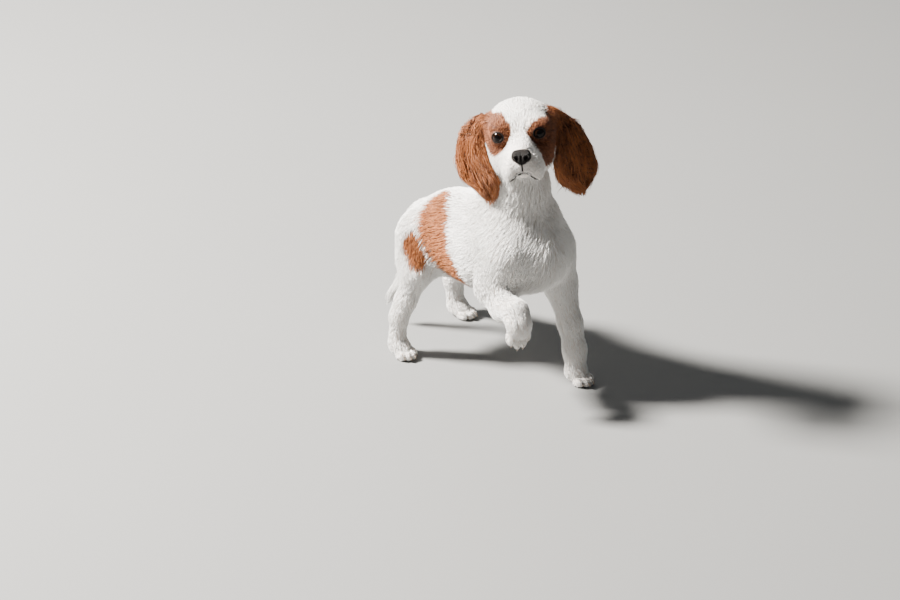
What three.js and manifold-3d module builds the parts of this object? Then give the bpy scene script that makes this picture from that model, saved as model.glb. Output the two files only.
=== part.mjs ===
// A cavalier king charles spaniel puppy, about eleven weeks old, as a still, life-size model.
// It stands on three paws with the right foreleg lifted, and its head is turned to its right.
// Millimetres. +X runs from tail to chest, +Y to the dog's own left, +Z up. The floor is z = 0.
import * as THREE from "three";
import { mergeVertices } from "three/addons/utils/BufferGeometryUtils.js";
import Module from "manifold-3d";

const wasm = await Module();
wasm.setup();

const point = (x, y, z) => new THREE.Vector3(x, y, z);
const degrees = THREE.MathUtils.degToRad;

// Driving dimensions
const GAP = 0.35; // clear space between neighbouring nodes
const GRID = 0.01; // the smallest step between two vertices
const SEED = 15; // first of the seeds that vary the locks
const FOOTPRINT = point(76.5, -1.5, 0); // centre of the model's box, between the paws
const SIDES = { left: 1, right: -1 };
const SOFT = { trunk: 14, neck: 10, head: 9, leg: 9, tail: 4 }; // how far forms flow into each other

// The head's own frame: its origin is the middle of the skull and +X leaves through the nose
const HEAD = { at: point(137, -12, 262), yaw: -47.5, pitch: 10, roll: 6 };
const SKULL = {
  cranium: { at: point(-3, 0, 3), radii: point(39, 36, 33) },
  brow: { at: point(24, 17, 13), radii: point(10, 11, 7) },
  cheek: { at: point(13, 19, -14), radii: point(20, 11.5, 20) },
  bridge: [
    { at: point(22, 0, -4), r: 14 },
    { at: point(52, 0, -9), r: 10 },
  ],
  flew: { at: point(40, 11.5, -22), radii: point(19, 9.5, 15) },
  pad: { at: point(46, 0, -20), radii: point(13, 9, 11) },
  jaw: [
    { at: point(8, 0, -24), r: 14 },
    { at: point(42, 0, -31), r: 10 },
  ],
  axis: [point(-14, 0, 4), point(10, 0, 0), point(30, 0, -12), point(44, 0, -20)],
};
const EYE = { from: point(0, 8, 4), gaze: point(1, 0.34, 0.07), radius: 8.6, proud: 2.4 };
const LIDS = { radius: 5.8, thick: 1.5, tall: 0.88 }; // the ring of both lids round the open eye
const NOSE = { at: point(57, 0, -9), radii: point(6.5, 8.7, 7.6) };
const NOSTRIL = { at: point(5.2, 4.4, -0.6), radii: point(2.6, 1.5, 1.9) };
// The line of the mouth: points on the muzzle's skin, by angle off the nose and by height
const MOUTH = {
  middle: 36,
  stations: [
    { turn: 0, z: -24 },
    { turn: 14, z: -27 },
    { turn: 32, z: -33.5 },
    { turn: 58, z: -36 },
    { turn: 90, z: -34 },
    { turn: 118, z: -29 },
  ],
  groove: 0.9, // radius of the cut along the line
  lip: 1.5, // radius of the lip's edge above it
  sunk: 0.3, // how far the lip's middle lies under the skin
};
const EARS = {
  ear_right: {
    spine: [point(-6, -33, 22), point(-7, -47, 2), point(-6, -48, -26), point(1, -32, -63)],
    across: point(0.55, 0.835, 0),
    widths: [12, 32, 40, 50, 48, 22],
  },
  ear_left: {
    spine: [point(-6, 29, 24), point(-7, 44, 0), point(-7, 47, -30), point(-4, 49, -61)],
    across: point(-0.6, 0.8, 0),
    widths: [12, 27, 38, 49, 47, 26],
  },
};
// The ear's core: its thickness, the curl of its edges, and how far it stops short of the hair's tips
const EAR = { thick: 6, cup: 5, margin: 3.5, reach: 0.9 };
// Every lock's sides and steps, how far its root is sunk in, and how its width tapers
const LOCK = { sides: 4, steps: 3, sink: 2.5, taper: 0.5 };
const EAR_LOCKS = {
  rows: [0.15, 0.35, 0.54, 0.73, 0.91],
  across: [-0.92, -0.48, 0, 0.48, 0.92],
  length: 27,
  width: 13,
  thick: 3.6,
  spread: 0.16,
  flare: 0.16,
};
const TAIL_LOCKS = { rows: 6, around: 3, length: 19, width: 10, thick: 3.4, flare: 0.26 };
const CHEST_LOCKS = {
  heights: [24, 6, -14, -34, -52], // degrees above the level round the breast
  turns: [-42, -20, 2, 24, 44], // degrees to the left of straight ahead
  length: 24,
  width: 12.5,
  thick: 4,
  flare: 0.2,
  inward: 0.18,
};

// The spine and what hangs on it: joints, each with the radius of flesh and coat round it
const TRUNK = {
  rump: { at: point(7, 0, 121), r: 31 },
  loin: { at: point(44, 0, 127), r: 43 },
  ribs: { at: point(90, 0, 132), r: 48 },
  chest: { at: point(130, 0, 138), r: 44 },
  breast: { at: point(153, 2, 134), r: 28 },
};
const TRUNK_WIDTH = 0.88; // the trunk's width over its height
const NECK = {
  base: { at: point(120, 0, 160), r: 43 },
  middle: { at: point(131, 2, 202), r: 31 },
  top: { at: point(133, -10, 242), r: 28 },
};
const LEGS = {
  fore_leg_left: {
    joints: [
      { at: point(146, 31, 136), r: 23 },
      { at: point(149, 36, 96), r: 16 },
      { at: point(165, 34, 56), r: 11 },
      { at: point(173, 32, 32), r: 10.5 },
      { at: point(177, 30, 15), r: 10.5 },
    ],
    muscle: { at: point(143, 28, 132), radii: point(25, 18, 34), lean: -12 },
    paw: { at: point(181, 29, 7.5), turn: -4, droop: 0 },
  },
  fore_leg_right: {
    joints: [
      { at: point(134, -30, 138), r: 22 },
      { at: point(128, -37, 108), r: 17 },
      { at: point(152, -48, 98), r: 13 },
      { at: point(171, -54, 101), r: 11.5 },
      { at: point(177, -57, 92), r: 10.5 },
    ],
    muscle: { at: point(130, -27, 130), radii: point(25, 18, 33), lean: -6 },
    paw: { at: point(179, -58, 86), turn: -12, droop: 74 },
  },
  hind_leg_left: {
    joints: [
      { at: point(16, 25, 122), r: 25 },
      { at: point(24, 38, 94), r: 18 },
      { at: point(-2, 50, 58), r: 10.5 },
      { at: point(-14, 53, 40), r: 9.5 },
      { at: point(-12, 54, 15), r: 9.5 },
    ],
    muscle: { at: point(17, 25, 114), radii: point(31, 18, 37), lean: 14 },
    paw: { at: point(-4, 54, 7.5), turn: 6, droop: 0 },
  },
  hind_leg_right: {
    joints: [
      { at: point(17, -25, 122), r: 25 },
      { at: point(29, -37, 92), r: 17 },
      { at: point(15, -48, 58), r: 11 },
      { at: point(9, -52, 42), r: 10 },
      { at: point(10, -53, 15), r: 9.5 },
    ],
    muscle: { at: point(18, -25, 114), radii: point(31, 18, 37), lean: 14 },
    paw: { at: point(17, -53, 7.5), turn: -8, droop: 0 },
  },
};
// One paw, from its own middle: the palm, and toes with their half lengths
const PAW = {
  palm: { at: point(-3, 0, 1), radii: point(13, 10.5, 9.5) },
  toes: [
    { at: point(7, 7.6, -3), long: 7.2 },
    { at: point(10.5, 2.7, -2.6), long: 8 },
    { at: point(10.5, -2.7, -2.6), long: 8 },
    { at: point(7, -7.6, -3), long: 7.2 },
  ],
  toe: { width: 3.9, height: 5.4 },
  claw: { long: 4, radius: 1.2, drop: 35 },
};
const TAIL = {
  path: [point(-6, 0, 134), point(-20, 2, 114), point(-26, 2, 86), point(-30, 0, 62), point(-39, -5, 45)],
  root: 6,
  tip: 3,
};

// Forms: each is a function that gives a point's distance from a surface, negative inside

// Flesh along a bone, from a to b
function limb(a, b) {
  const along = b.at.clone().sub(a.at);
  const square = along.lengthSq();
  return (p) => {
    const from = p.clone().sub(a.at);
    const t = THREE.MathUtils.clamp(from.dot(along) / square, 0, 1);
    return from.addScaledVector(along, -t).length() - THREE.MathUtils.lerp(a.r, b.r, t);
  };
}

// An egg-shaped mass, leaning forward by some degrees about the Y axis
function mass(at, radii, lean = 0) {
  const [c, s] = [Math.cos(degrees(lean)), Math.sin(degrees(lean))];
  return (p) => {
    const [x, y, z] = [p.x - at.x, p.y - at.y, p.z - at.z];
    const q = point((x * c - z * s) / radii.x, y / radii.y, (x * s + z * c) / radii.z);
    const slope = point(q.x / radii.x, q.y / radii.y, q.z / radii.z).length();
    return slope < 1e-9 ? -Math.min(radii.x, radii.y, radii.z) : (q.length() * (q.length() - 1)) / slope;
  };
}

// Several forms flowing into one another over about `soft` millimetres
function blend(soft, ...forms) {
  return (p) =>
    forms.reduce((near, form) => {
      const d = form(p);
      const h = Math.max(soft - Math.abs(near - d), 0) / soft;
      return Math.min(near, d) - (h * h * soft) / 4;
    }, Infinity);
}

// Forms squeezed sideways about the dog's middle plane
const squeezed = (form, width) => (p) => form(point(p.x, p.y / width, p.z)) * width;

// Solids

// Sets every vertex on a fine grid and removes what a Boolean can't read: doubled vertices and
// faces of no area
function closed(geometry) {
  const plain = geometry.index ? geometry.toNonIndexed() : geometry.clone();
  for (const name of Object.keys(plain.attributes)) if (name !== "position") plain.deleteAttribute(name);
  const values = plain.attributes.position.array;
  for (let i = 0; i < values.length; i++) values[i] = Math.round(values[i] / GRID) * GRID;
  const merged = mergeVertices(plain, GRID / 5);
  const kept = [];
  for (let i = 0; i < merged.index.count; i += 3) {
    const [a, b, c] = [0, 1, 2].map((k) => merged.index.getX(i + k));
    if (a !== b && b !== c && a !== c) kept.push(a, b, c);
  }
  merged.setIndex(kept);
  return merged;
}

function solid(geometry) {
  const g = closed(geometry);
  return new wasm.Manifold(
    new wasm.Mesh({
      numProp: 3,
      vertProperties: new Float32Array(g.attributes.position.array),
      triVerts: new Uint32Array(g.index.array),
    }),
  );
}

const union = (solids) => solids.reduce((a, b) => a.add(b));
const less = (a, cutters) => cutters.reduce((left, cutter) => left.subtract(cutter), a);

// A node's geometry, moved so that the model stands over the origin. Its close vertices are welded
// and only its largest closed surface stays, until no loose scrap and no sealed hollow is left.
function settled(a) {
  let g = geometryOf(a).translate(-FOOTPRINT.x, -FOOTPRINT.y, -FOOTPRINT.z);
  let bodies;
  do {
    bodies = solid(g).decompose();
    g = geometryOf(bodies.reduce((best, body) => (body.volume() > best.volume() ? body : best)));
  } while (bodies.length > 1);
  return g;
}

function geometryOf(a) {
  const mesh = a.getMesh();
  const positions = new Float32Array(mesh.numVert * 3);
  for (let i = 0; i < mesh.numVert; i++) {
    positions.set(mesh.vertProperties.subarray(i * mesh.numProp, i * mesh.numProp + 3), i * 3);
  }
  const g = new THREE.BufferGeometry();
  g.setAttribute("position", new THREE.BufferAttribute(positions, 3));
  g.setIndex(new THREE.BufferAttribute(new Uint32Array(mesh.triVerts), 1));
  g.computeVertexNormals();
  return g;
}

// How far a ray from inside a form runs before it leaves it
function reach(form, from, way) {
  let t = 0;
  for (let i = 0; i < 60; i++) {
    const d = form(from.clone().addScaledVector(way, t));
    t -= d;
    if (Math.abs(d) < 0.01) break;
  }
  return Math.max(t, 0.5);
}

// A capsule shrunk onto a form: its axis is bent along a path inside the form and each of its
// vertices slides out along its own ray to the surface
function wrapped(form, path, { around = 20, along = 12, cap = 5, grow = 0 } = {}) {
  const curve = new THREE.CatmullRomCurve3(path);
  const g = new THREE.CapsuleGeometry(1, 2, cap, around, along);
  const position = g.attributes.position;
  const sideways = point(0, 1, 0);
  for (let i = 0; i < position.count; i++) {
    const v = new THREE.Vector3().fromBufferAttribute(position, i);
    const height = THREE.MathUtils.clamp(v.y, -1, 1);
    const t = (height + 1) / 2;
    const ahead = curve.getTangentAt(t);
    const side = new THREE.Vector3().crossVectors(sideways, ahead).normalize();
    const over = new THREE.Vector3().crossVectors(ahead, side);
    const way = ahead.clone().multiplyScalar(v.y - height);
    way.addScaledVector(side, v.x).addScaledVector(over, -v.z).normalize();
    const from = curve.getPointAt(t);
    const out = reach(form, from, way) + grow;
    position.setXYZ(i, ...from.addScaledVector(way, out).toArray());
  }
  return g;
}

// A geometry moved by a matrix
const moved = (geometry, matrix) => geometry.clone().applyMatrix4(matrix);

// An egg-shaped geometry
function egg({ at, radii }, detail = 1) {
  const g = new THREE.OctahedronGeometry(1, detail);
  g.scale(radii.x, radii.y, radii.z);
  return g.translate(at.x, at.y, at.z);
}

// A round cord along points, closed at both ends
function cord(points, radius, sides = 5) {
  const rim = Array.from({ length: sides }, (_, i) => {
    const turn = (2 * Math.PI * i) / sides;
    return new THREE.Vector2(radius * Math.cos(turn), radius * Math.sin(turn));
  });
  return new THREE.ExtrudeGeometry(new THREE.Shape(rim), {
    steps: 2 * (points.length - 1),
    extrudePath: new THREE.CatmullRomCurve3(points),
    bevelEnabled: false,
  });
}

// A small seeded draw between -1 and 1, so that like locks differ and every build is the same
function seeded(seed) {
  let state = seed;
  return () => {
    state = (state * 16807) % 2147483647;
    return (2 * state) / 2147483647 - 1;
  };
}

// A flat, tapered lock of hair. It leaves its root along `heading`, bends to `fall` and lies
// with its flat side to `out`; its root is sunk into the core.
function lock({ root, heading, fall, out, length, width, thick }) {
  const start = root.clone().addScaledVector(out, -LOCK.sink);
  const middle = root.clone().addScaledVector(heading, length / 2);
  const tip = middle.clone().addScaledVector(fall, length / 2);
  const curve = new THREE.QuadraticBezierCurve3(start, middle, tip);
  const g = new THREE.ConeGeometry(1, 1, LOCK.sides, LOCK.steps);
  const position = g.attributes.position;
  for (let i = 0; i < position.count; i++) {
    const v = new THREE.Vector3().fromBufferAttribute(position, i);
    const t = THREE.MathUtils.clamp(v.y + 0.5, 0, 1);
    const ahead = curve.getTangent(t);
    const side = new THREE.Vector3().crossVectors(ahead, out).normalize();
    const flat = new THREE.Vector3().crossVectors(side, ahead);
    const full = t < 1 ? Math.pow(1 - t, LOCK.taper) / (1 - t) : 0;
    const at = curve.getPoint(t);
    at.addScaledVector(side, (v.x * full * width) / 2);
    at.addScaledVector(flat, (v.z * full * thick) / 2);
    position.setXYZ(i, ...at.toArray());
  }
  return g;
}

// The point where a ray from inside a form leaves it
function skin(form, from, way, proud = 0) {
  const ahead = way.clone().normalize();
  return from.clone().addScaledVector(ahead, reach(form, from, ahead) + proud);
}

const chain = (joints) => joints.slice(1).map((joint, i) => limb(joints[i], joint));
const mirrored = ({ at, radii }, side) => ({ at: point(at.x, side * at.y, at.z), radii });
const places = (joints) => joints.map((joint) => joint.at);

// Torso and neck

const trunkForm = squeezed(blend(SOFT.trunk, ...chain(Object.values(TRUNK))), TRUNK_WIDTH);
const trunkAxis = places(Object.values(TRUNK));

const neckForm = blend(SOFT.neck, ...chain(Object.values(NECK)));
const neckAxis = places(Object.values(NECK));

// Head

const HEAD_FRAME = new THREE.Matrix4()
  .makeRotationFromEuler(new THREE.Euler(degrees(HEAD.roll), degrees(-HEAD.pitch), degrees(HEAD.yaw), "ZYX"))
  .setPosition(HEAD.at);
const onHead = (geometry) => solid(moved(geometry, HEAD_FRAME));

const headForm = blend(
  SOFT.head,
  mass(SKULL.cranium.at, SKULL.cranium.radii),
  mass(SKULL.pad.at, SKULL.pad.radii),
  ...chain(SKULL.bridge),
  ...chain(SKULL.jaw),
  ...Object.values(SIDES).flatMap((side) =>
    [SKULL.brow, SKULL.cheek, SKULL.flew].map((part) => {
      const { at, radii } = mirrored(part, side);
      return mass(at, radii);
    }),
  ),
);
const headWrap = (grow) =>
  onHead(wrapped(headForm, SKULL.axis, { around: 24, along: 15, cap: 6, grow }));
const headCutter = headWrap(GAP);

// The eyeball's centre, set in so that the ball stands only a little proud of the face
function eyeCentre(side) {
  const gaze = point(EYE.gaze.x, side * EYE.gaze.y, EYE.gaze.z);
  const from = point(EYE.from.x, side * EYE.from.y, EYE.from.z);
  return skin(headForm, from, gaze, EYE.proud - EYE.radius);
}

function eyeball(side, grow = 0) {
  const { x, y, z } = eyeCentre(side);
  const g = new THREE.IcosahedronGeometry(EYE.radius + grow, 2);
  return onHead(g.translate(x, y, z));
}

// Both lids as one oval ring that lies on the ball
function lids(side) {
  const { x, y, z } = eyeCentre(side);
  const gaze = point(EYE.gaze.x, side * EYE.gaze.y, EYE.gaze.z).normalize();
  const ahead = Math.sqrt(EYE.radius ** 2 - LIDS.radius ** 2);
  const g = new THREE.TorusGeometry(LIDS.radius, LIDS.thick, 5, 14);
  g.scale(1, LIDS.tall, 1);
  g.applyMatrix4(new THREE.Matrix4().lookAt(gaze, point(0, 0, 0), point(0, 0, 1)));
  g.translate(x + gaze.x * ahead, y + gaze.y * ahead, z + gaze.z * ahead);
  return onHead(g);
}

// The mouth's line round the muzzle, from one corner past the nose's tip to the other
function mouthLine(proud) {
  const half = (side) =>
    MOUTH.stations.map(({ turn, z }) => {
      const way = point(Math.cos(degrees(turn)), side * Math.sin(degrees(turn)), 0);
      return skin(headForm, point(MOUTH.middle, 0, z), way, proud);
    });
  return [...half(SIDES.right).reverse(), ...half(SIDES.left).slice(1)];
}

function head() {
  const lip = mouthLine(-MOUTH.sunk).map((p) => p.add(point(0, 0, MOUTH.lip + MOUTH.sunk)));
  const front = MOUTH.stations[0].z;
  const philtrum = [NOSE.at.z, (NOSE.at.z + front) / 2, front].map((z) =>
    skin(headForm, point(MOUTH.middle, 0, z), point(1, 0, 0)),
  );
  const whole = union([
    headWrap(0),
    onHead(cord(lip, MOUTH.lip)),
    ...Object.values(SIDES).map(lids),
  ]);
  return less(whole, [
    onHead(cord(mouthLine(0), MOUTH.groove)),
    onHead(cord(philtrum, MOUTH.groove)),
    ...Object.values(SIDES).map((side) => eyeball(side, GAP)),
  ]);
}

function nose() {
  const nostrils = Object.values(SIDES).map((side) => {
    const { at, radii } = mirrored(NOSTRIL, side);
    return onHead(egg({ at: at.add(NOSE.at), radii }, 1));
  });
  return less(onHead(egg(NOSE, 4)), [headCutter, ...nostrils]);
}

// The ear's own frame at a place along its spine: where it is, its directions and its half width
function alongEar({ spine, across, widths }, t) {
  const curve = new THREE.CatmullRomCurve3(spine);
  const ahead = curve.getTangentAt(t);
  const out = new THREE.Vector3().crossVectors(ahead, across).normalize();
  const place = t * (widths.length - 1);
  const k = Math.min(Math.floor(place), widths.length - 2);
  const half = THREE.MathUtils.lerp(widths[k], widths[k + 1], place - k) / 2;
  return { at: curve.getPointAt(t), ahead, across, out, half };
}

// The ear's core: a leaf along its spine, curled in a little at both edges
function earCore(sizes) {
  const g = new THREE.SphereGeometry(1, 12, 11);
  const position = g.attributes.position;
  for (let i = 0; i < position.count; i++) {
    const v = new THREE.Vector3().fromBufferAttribute(position, i);
    const t = Math.acos(THREE.MathUtils.clamp(v.y, -1, 1)) / Math.PI;
    const round = Math.sqrt(Math.max(1 - v.y * v.y, 0));
    const [u, w] = round > 1e-6 ? [v.x / round, v.z / round] : [0, 0];
    const end = Math.min(1, 3.2 * Math.sqrt(Math.max(t * (1 - t), 0)));
    const { at, across, out, half } = alongEar(sizes, t * EAR.reach);
    at.addScaledVector(across, u * end * (half - EAR.margin));
    at.addScaledVector(out, w * end * (EAR.thick / 2) - EAR.cup * u * u);
    position.setXYZ(i, ...at.toArray());
  }
  return onHead(g);
}

// The ear's long hair: rows of locks down its outer face and off its edges
function earLocks(sizes, seed) {
  const draw = seeded(seed);
  return EAR_LOCKS.rows.flatMap((t) =>
    EAR_LOCKS.across.map((u) => {
      const { at, ahead, across, out, half } = alongEar(sizes, (t + 0.03 * draw()) * EAR.reach);
      const root = at.clone().addScaledVector(across, u * (half - EAR.margin));
      root.addScaledVector(out, 0.3 * EAR.thick - EAR.cup * u * u);
      const heading = ahead.clone().addScaledVector(across, u * EAR_LOCKS.spread + 0.1 * draw());
      heading.addScaledVector(out, EAR_LOCKS.flare).normalize();
      const fall = ahead.clone().addScaledVector(across, 0.22 * draw() - 0.1 * u).normalize();
      const length = EAR_LOCKS.length * (1 + 0.16 * draw());
      const width = EAR_LOCKS.width * (1 + 0.15 * draw());
      return onHead(lock({ root, heading, fall, out, length, width, thick: EAR_LOCKS.thick }));
    }),
  );
}

// Legs

function paw({ at, turn, droop }) {
  const place = new THREE.Matrix4()
    .makeRotationFromEuler(new THREE.Euler(0, degrees(droop), degrees(turn), "ZYX"))
    .setPosition(at);
  const onPaw = (geometry) => solid(moved(geometry, place));
  const toes = PAW.toes.flatMap((toe) => {
    const radii = point(toe.long, PAW.toe.width, PAW.toe.height);
    const claw = new THREE.ConeGeometry(PAW.claw.radius, 2 * PAW.claw.long, 5);
    claw.rotateZ(degrees(-90 - PAW.claw.drop));
    claw.translate(toe.at.x + toe.long, toe.at.y, toe.at.z - 0.5);
    return [onPaw(egg({ at: toe.at, radii }, 1)), onPaw(claw)];
  });
  return union([onPaw(egg(PAW.palm, 2)), ...toes]);
}

const GROUND = point(600, 600, 60); // a slab under the floor's level that cuts the soles flat
const ground = solid(new THREE.BoxGeometry(...GROUND.toArray()).translate(0, 0, -GROUND.z / 2));

function leg({ joints, muscle, paw: foot }, grow = 0) {
  const form = blend(SOFT.leg, ...chain(joints), mass(muscle.at, muscle.radii, muscle.lean));
  const flesh = solid(wrapped(form, places(joints), { around: 12, along: 12, cap: 3, grow }));
  return flesh.add(paw(foot)).subtract(ground);
}

// Tail: a slim core with locks all round that lie along it towards its tip
function tail(seed) {
  const { path, root, tip } = TAIL;
  const radius = (t) => THREE.MathUtils.lerp(root, tip, t);
  const joints = path.map((at, i) => ({ at, r: radius(i / (path.length - 1)) }));
  const core = solid(wrapped(blend(SOFT.tail, ...chain(joints)), path, { around: 10, along: 10, cap: 3 }));
  const curve = new THREE.CatmullRomCurve3(path);
  const draw = seeded(seed);
  const { width, thick } = TAIL_LOCKS;
  const locks = [];
  for (let row = 1; row <= TAIL_LOCKS.rows; row++) {
    const t = row / (TAIL_LOCKS.rows + 0.2);
    const ahead = curve.getTangentAt(t);
    const side = new THREE.Vector3().crossVectors(point(0, 1, 0), ahead).normalize();
    const over = new THREE.Vector3().crossVectors(ahead, side);
    for (let k = 0; k < TAIL_LOCKS.around; k++) {
      const turn = (2 * Math.PI * (k + 0.5 * (row % 2) + 0.12 * draw())) / TAIL_LOCKS.around;
      const out = side.clone().multiplyScalar(Math.cos(turn)).addScaledVector(over, Math.sin(turn));
      const at = curve.getPointAt(t).addScaledVector(out, radius(t));
      const heading = ahead.clone().addScaledVector(out, TAIL_LOCKS.flare).normalize();
      const fall = ahead.clone().addScaledVector(out, -TAIL_LOCKS.flare / 2).normalize();
      const length = TAIL_LOCKS.length * (1 + 0.15 * draw());
      locks.push(solid(lock({ root: at, heading, fall, out, length, width, thick })));
    }
  }
  return union([core, ...locks]);
}

// The tuft of longer hair on the breast, as locks that hang down and a little forward
function chestLocks(seed) {
  const draw = seeded(seed);
  const { width, thick } = CHEST_LOCKS;
  const from = TRUNK.breast.at.clone().lerp(TRUNK.chest.at, 0.5);
  return CHEST_LOCKS.heights.flatMap((height, row) =>
    CHEST_LOCKS.turns.map((turn) => {
      const yaw = degrees(turn + 10 * (row % 2) + 4 * draw());
      const rise = degrees(height + 4 * draw());
      const out = point(Math.cos(yaw) * Math.cos(rise), Math.sin(yaw) * Math.cos(rise), Math.sin(rise));
      const root = skin(trunkForm, from, out);
      const down = point(0, 0, -1).addScaledVector(out, out.z).normalize();
      const inward = point(0, -Math.sign(root.y) * CHEST_LOCKS.inward, 0);
      const heading = down.clone().addScaledVector(out, CHEST_LOCKS.flare).add(inward).normalize();
      const fall = down.clone().addScaledVector(out, CHEST_LOCKS.flare / 2).add(inward).normalize();
      const length = CHEST_LOCKS.length * (1 + 0.16 * draw());
      return solid(lock({ root, heading, fall, out, length, width, thick }));
    }),
  );
}

// Finishes

const finish = (color, roughness) => new THREE.MeshStandardMaterial({ color, roughness, metalness: 0 });
const COAT_WHITE = finish(0xf1ece4, 0.85);
const COAT_CHESTNUT = finish(0x9a5226, 0.85);
const EYE_BROWN = finish(0x1a0f0a, 0.12);
const NOSE_LEATHER = finish(0x2a1d1a, 0.5);

// The model: each node is cut clear of those that it meets

const trunkWrap = (grow) => solid(wrapped(trunkForm, trunkAxis, { around: 20, along: 10, cap: 5, grow }));
const neckWrap = (grow) => solid(wrapped(neckForm, neckAxis, { around: 20, along: 8, cap: 5, grow }));
const trunkCutter = trunkWrap(GAP);
const neckCutter = neckWrap(GAP);
const legCutters = (kind) => Object.keys(SIDES).map((side) => leg(LEGS[`${kind}_leg_${side}`], GAP));

const dog = new THREE.Group();

function add(name, body, material) {
  const mesh = new THREE.Mesh(settled(body), material);
  mesh.name = name;
  dog.add(mesh);
}

const breastHair = less(union(chestLocks(SEED + 3)), [neckCutter, ...legCutters("fore")]);
add("torso", trunkWrap(0).add(breastHair), COAT_WHITE);
add("neck", less(neckWrap(0), [trunkCutter, headCutter]), COAT_WHITE);
add("head", head(), COAT_WHITE);
add("nose", nose(), NOSE_LEATHER);
add("tail", less(tail(SEED + 5), [trunkCutter, ...legCutters("hind")]), COAT_WHITE);
for (const [name, side] of Object.entries(SIDES)) add(`eye_${name}`, eyeball(side), EYE_BROWN);
Object.entries(EARS).forEach(([name, sizes], i) => {
  const ear = union([earCore(sizes), ...earLocks(sizes, SEED + i)]);
  add(name, less(ear, [headCutter, neckCutter]), COAT_CHESTNUT);
});
for (const [name, sizes] of Object.entries(LEGS)) {
  add(name, less(leg(sizes), [trunkCutter, neckCutter]), COAT_WHITE);
}

export default dog;
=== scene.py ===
"""A cavalier king charles spaniel puppy of about eleven weeks, as a still, life-size model.

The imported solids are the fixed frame. One skin takes the place of the nodes of flesh, and a coat of
fine tufts grows on it, combed along the body. Places and sizes are in millimetres in the maker's
frame: +X runs from tail to chest, +Y to the dog's own left, +Z up, and the floor is z = 0. Each mesh
is moved over the origin and turned to metres when it becomes a piece.
"""

import logging
import math
from dataclasses import astuple, dataclass, field
from enum import Enum
from typing import Any, Callable, Iterable, Sequence

import bmesh
import bpy
import numpy as np
from mathutils import Euler, Matrix, Vector


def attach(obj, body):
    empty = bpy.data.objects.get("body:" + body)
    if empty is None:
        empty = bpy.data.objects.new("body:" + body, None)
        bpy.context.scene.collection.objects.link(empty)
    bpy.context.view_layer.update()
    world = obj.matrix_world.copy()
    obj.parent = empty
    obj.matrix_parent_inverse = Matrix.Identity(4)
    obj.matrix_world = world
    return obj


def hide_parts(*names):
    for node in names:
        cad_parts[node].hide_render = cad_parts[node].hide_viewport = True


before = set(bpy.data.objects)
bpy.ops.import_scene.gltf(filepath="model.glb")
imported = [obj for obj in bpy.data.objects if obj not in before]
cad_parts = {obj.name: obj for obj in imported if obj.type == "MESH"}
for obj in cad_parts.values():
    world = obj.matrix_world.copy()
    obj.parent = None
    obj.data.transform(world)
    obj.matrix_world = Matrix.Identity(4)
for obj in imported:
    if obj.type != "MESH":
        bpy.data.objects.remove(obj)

log = logging.getLogger("puppy")

Array = np.ndarray
BMesh = bmesh.types.BMesh
Mesh = bpy.types.Mesh
Material = bpy.types.Material
Object = bpy.types.Object
Place = tuple[float, float, float]
Colour = tuple[float, float, float]
Joint = tuple[Place, float]  # a place and the radius there
Egg = tuple[Place, Place]  # a middle and three radii

MM = 0.001  # metres in a millimetre
FOOTPRINT = np.array((76.5, -1.5, 0.0))  # the point of the maker's frame that stands on the origin
BODY = "root"
SIDES = {"left": 1, "right": -1}  # the sign of y
BAKE_MAP = "OFBake"
COAT_ATTRIBUTE = "coat"  # way along the hair, shade of the tuft, share of chestnut
PIGMENT_AND_SHADE_ATTRIBUTE = "pigment"  # share of dark, bare skin, with painted shade under the lips and in the nostrils
FLESH = ("torso", "neck", "head", "tail", "ear_left", "ear_right")


class Slot(Enum):
    """Names of the material slots."""

    WHITE = "coat_white"
    CHESTNUT = "coat_chestnut"
    EYE = "eye_brown"
    NOSE = "nose_leather"
    NONE = ""


def unit(vectors: Array) -> Array:
    """Vectors of length 1 along the last axis."""
    return vectors / np.maximum(np.linalg.norm(vectors, axis=-1, keepdims=True), 1e-9)


def length_of(vectors: Array) -> Array:
    """The lengths of vectors along the last axis."""
    return np.linalg.norm(vectors, axis=-1)


def away_from(points: Array, at: Sequence[float]) -> Array:
    """Each point's distance from a place."""
    return length_of(points - np.array(at))


def across_out(vectors: Array, out: Array) -> Array:
    """How much of each vector runs along out, as vectors."""
    return out * np.sum(vectors * out, axis=1, keepdims=True)


def smooth_step(values: Array, low: float, high: float) -> Array:
    """0 below low, 1 above high, and a smooth rise between."""
    t = np.clip((values - low) / (high - low), 0, 1)
    return t * t * (3 - 2 * t)


def smooth_fall(values: Array, low: float, high: float) -> Array:
    """1 below low, 0 above high, and a smooth fall between."""
    return 1 - smooth_step(values, low, high)


def hump(run: Array, width: float) -> Array:
    """1 where run is 0, falling off to both sides over about width."""
    return np.exp(-((run / width) ** 2))


def mirrored(at: Place, side: int) -> Place:
    """A place of the dog's left, or its like on the right where side is -1."""
    return (at[0], side * at[1], at[2])


def degrees_way(turn: float, side: int = 1) -> Place:
    """The level way that leaves +X by some degrees."""
    return (math.cos(math.radians(turn)), side * math.sin(math.radians(turn)), 0)


def ripple(points: Array, size: float, seed: float = 0.0) -> Array:
    """A smooth, repeatable unevenness between about -1 and 1.

    Args:
        points: Places, one in each row.
        size: The usual distance between a rise and a dip.
        seed: Shifts the pattern.

    Returns:
        One value for each point.
    """
    x, y, z = (points / size).T * math.pi
    total = np.sin(x + 1.7 * np.sin(y * 0.9 + seed) + seed)
    total += np.sin(y * 1.1 + 1.5 * np.sin(z * 0.8 + 2 * seed) + 1.3)
    total += np.sin(z * 0.95 + 1.6 * np.sin(x * 1.05 + 3 * seed) + 2.1)
    return total / 3


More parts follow.
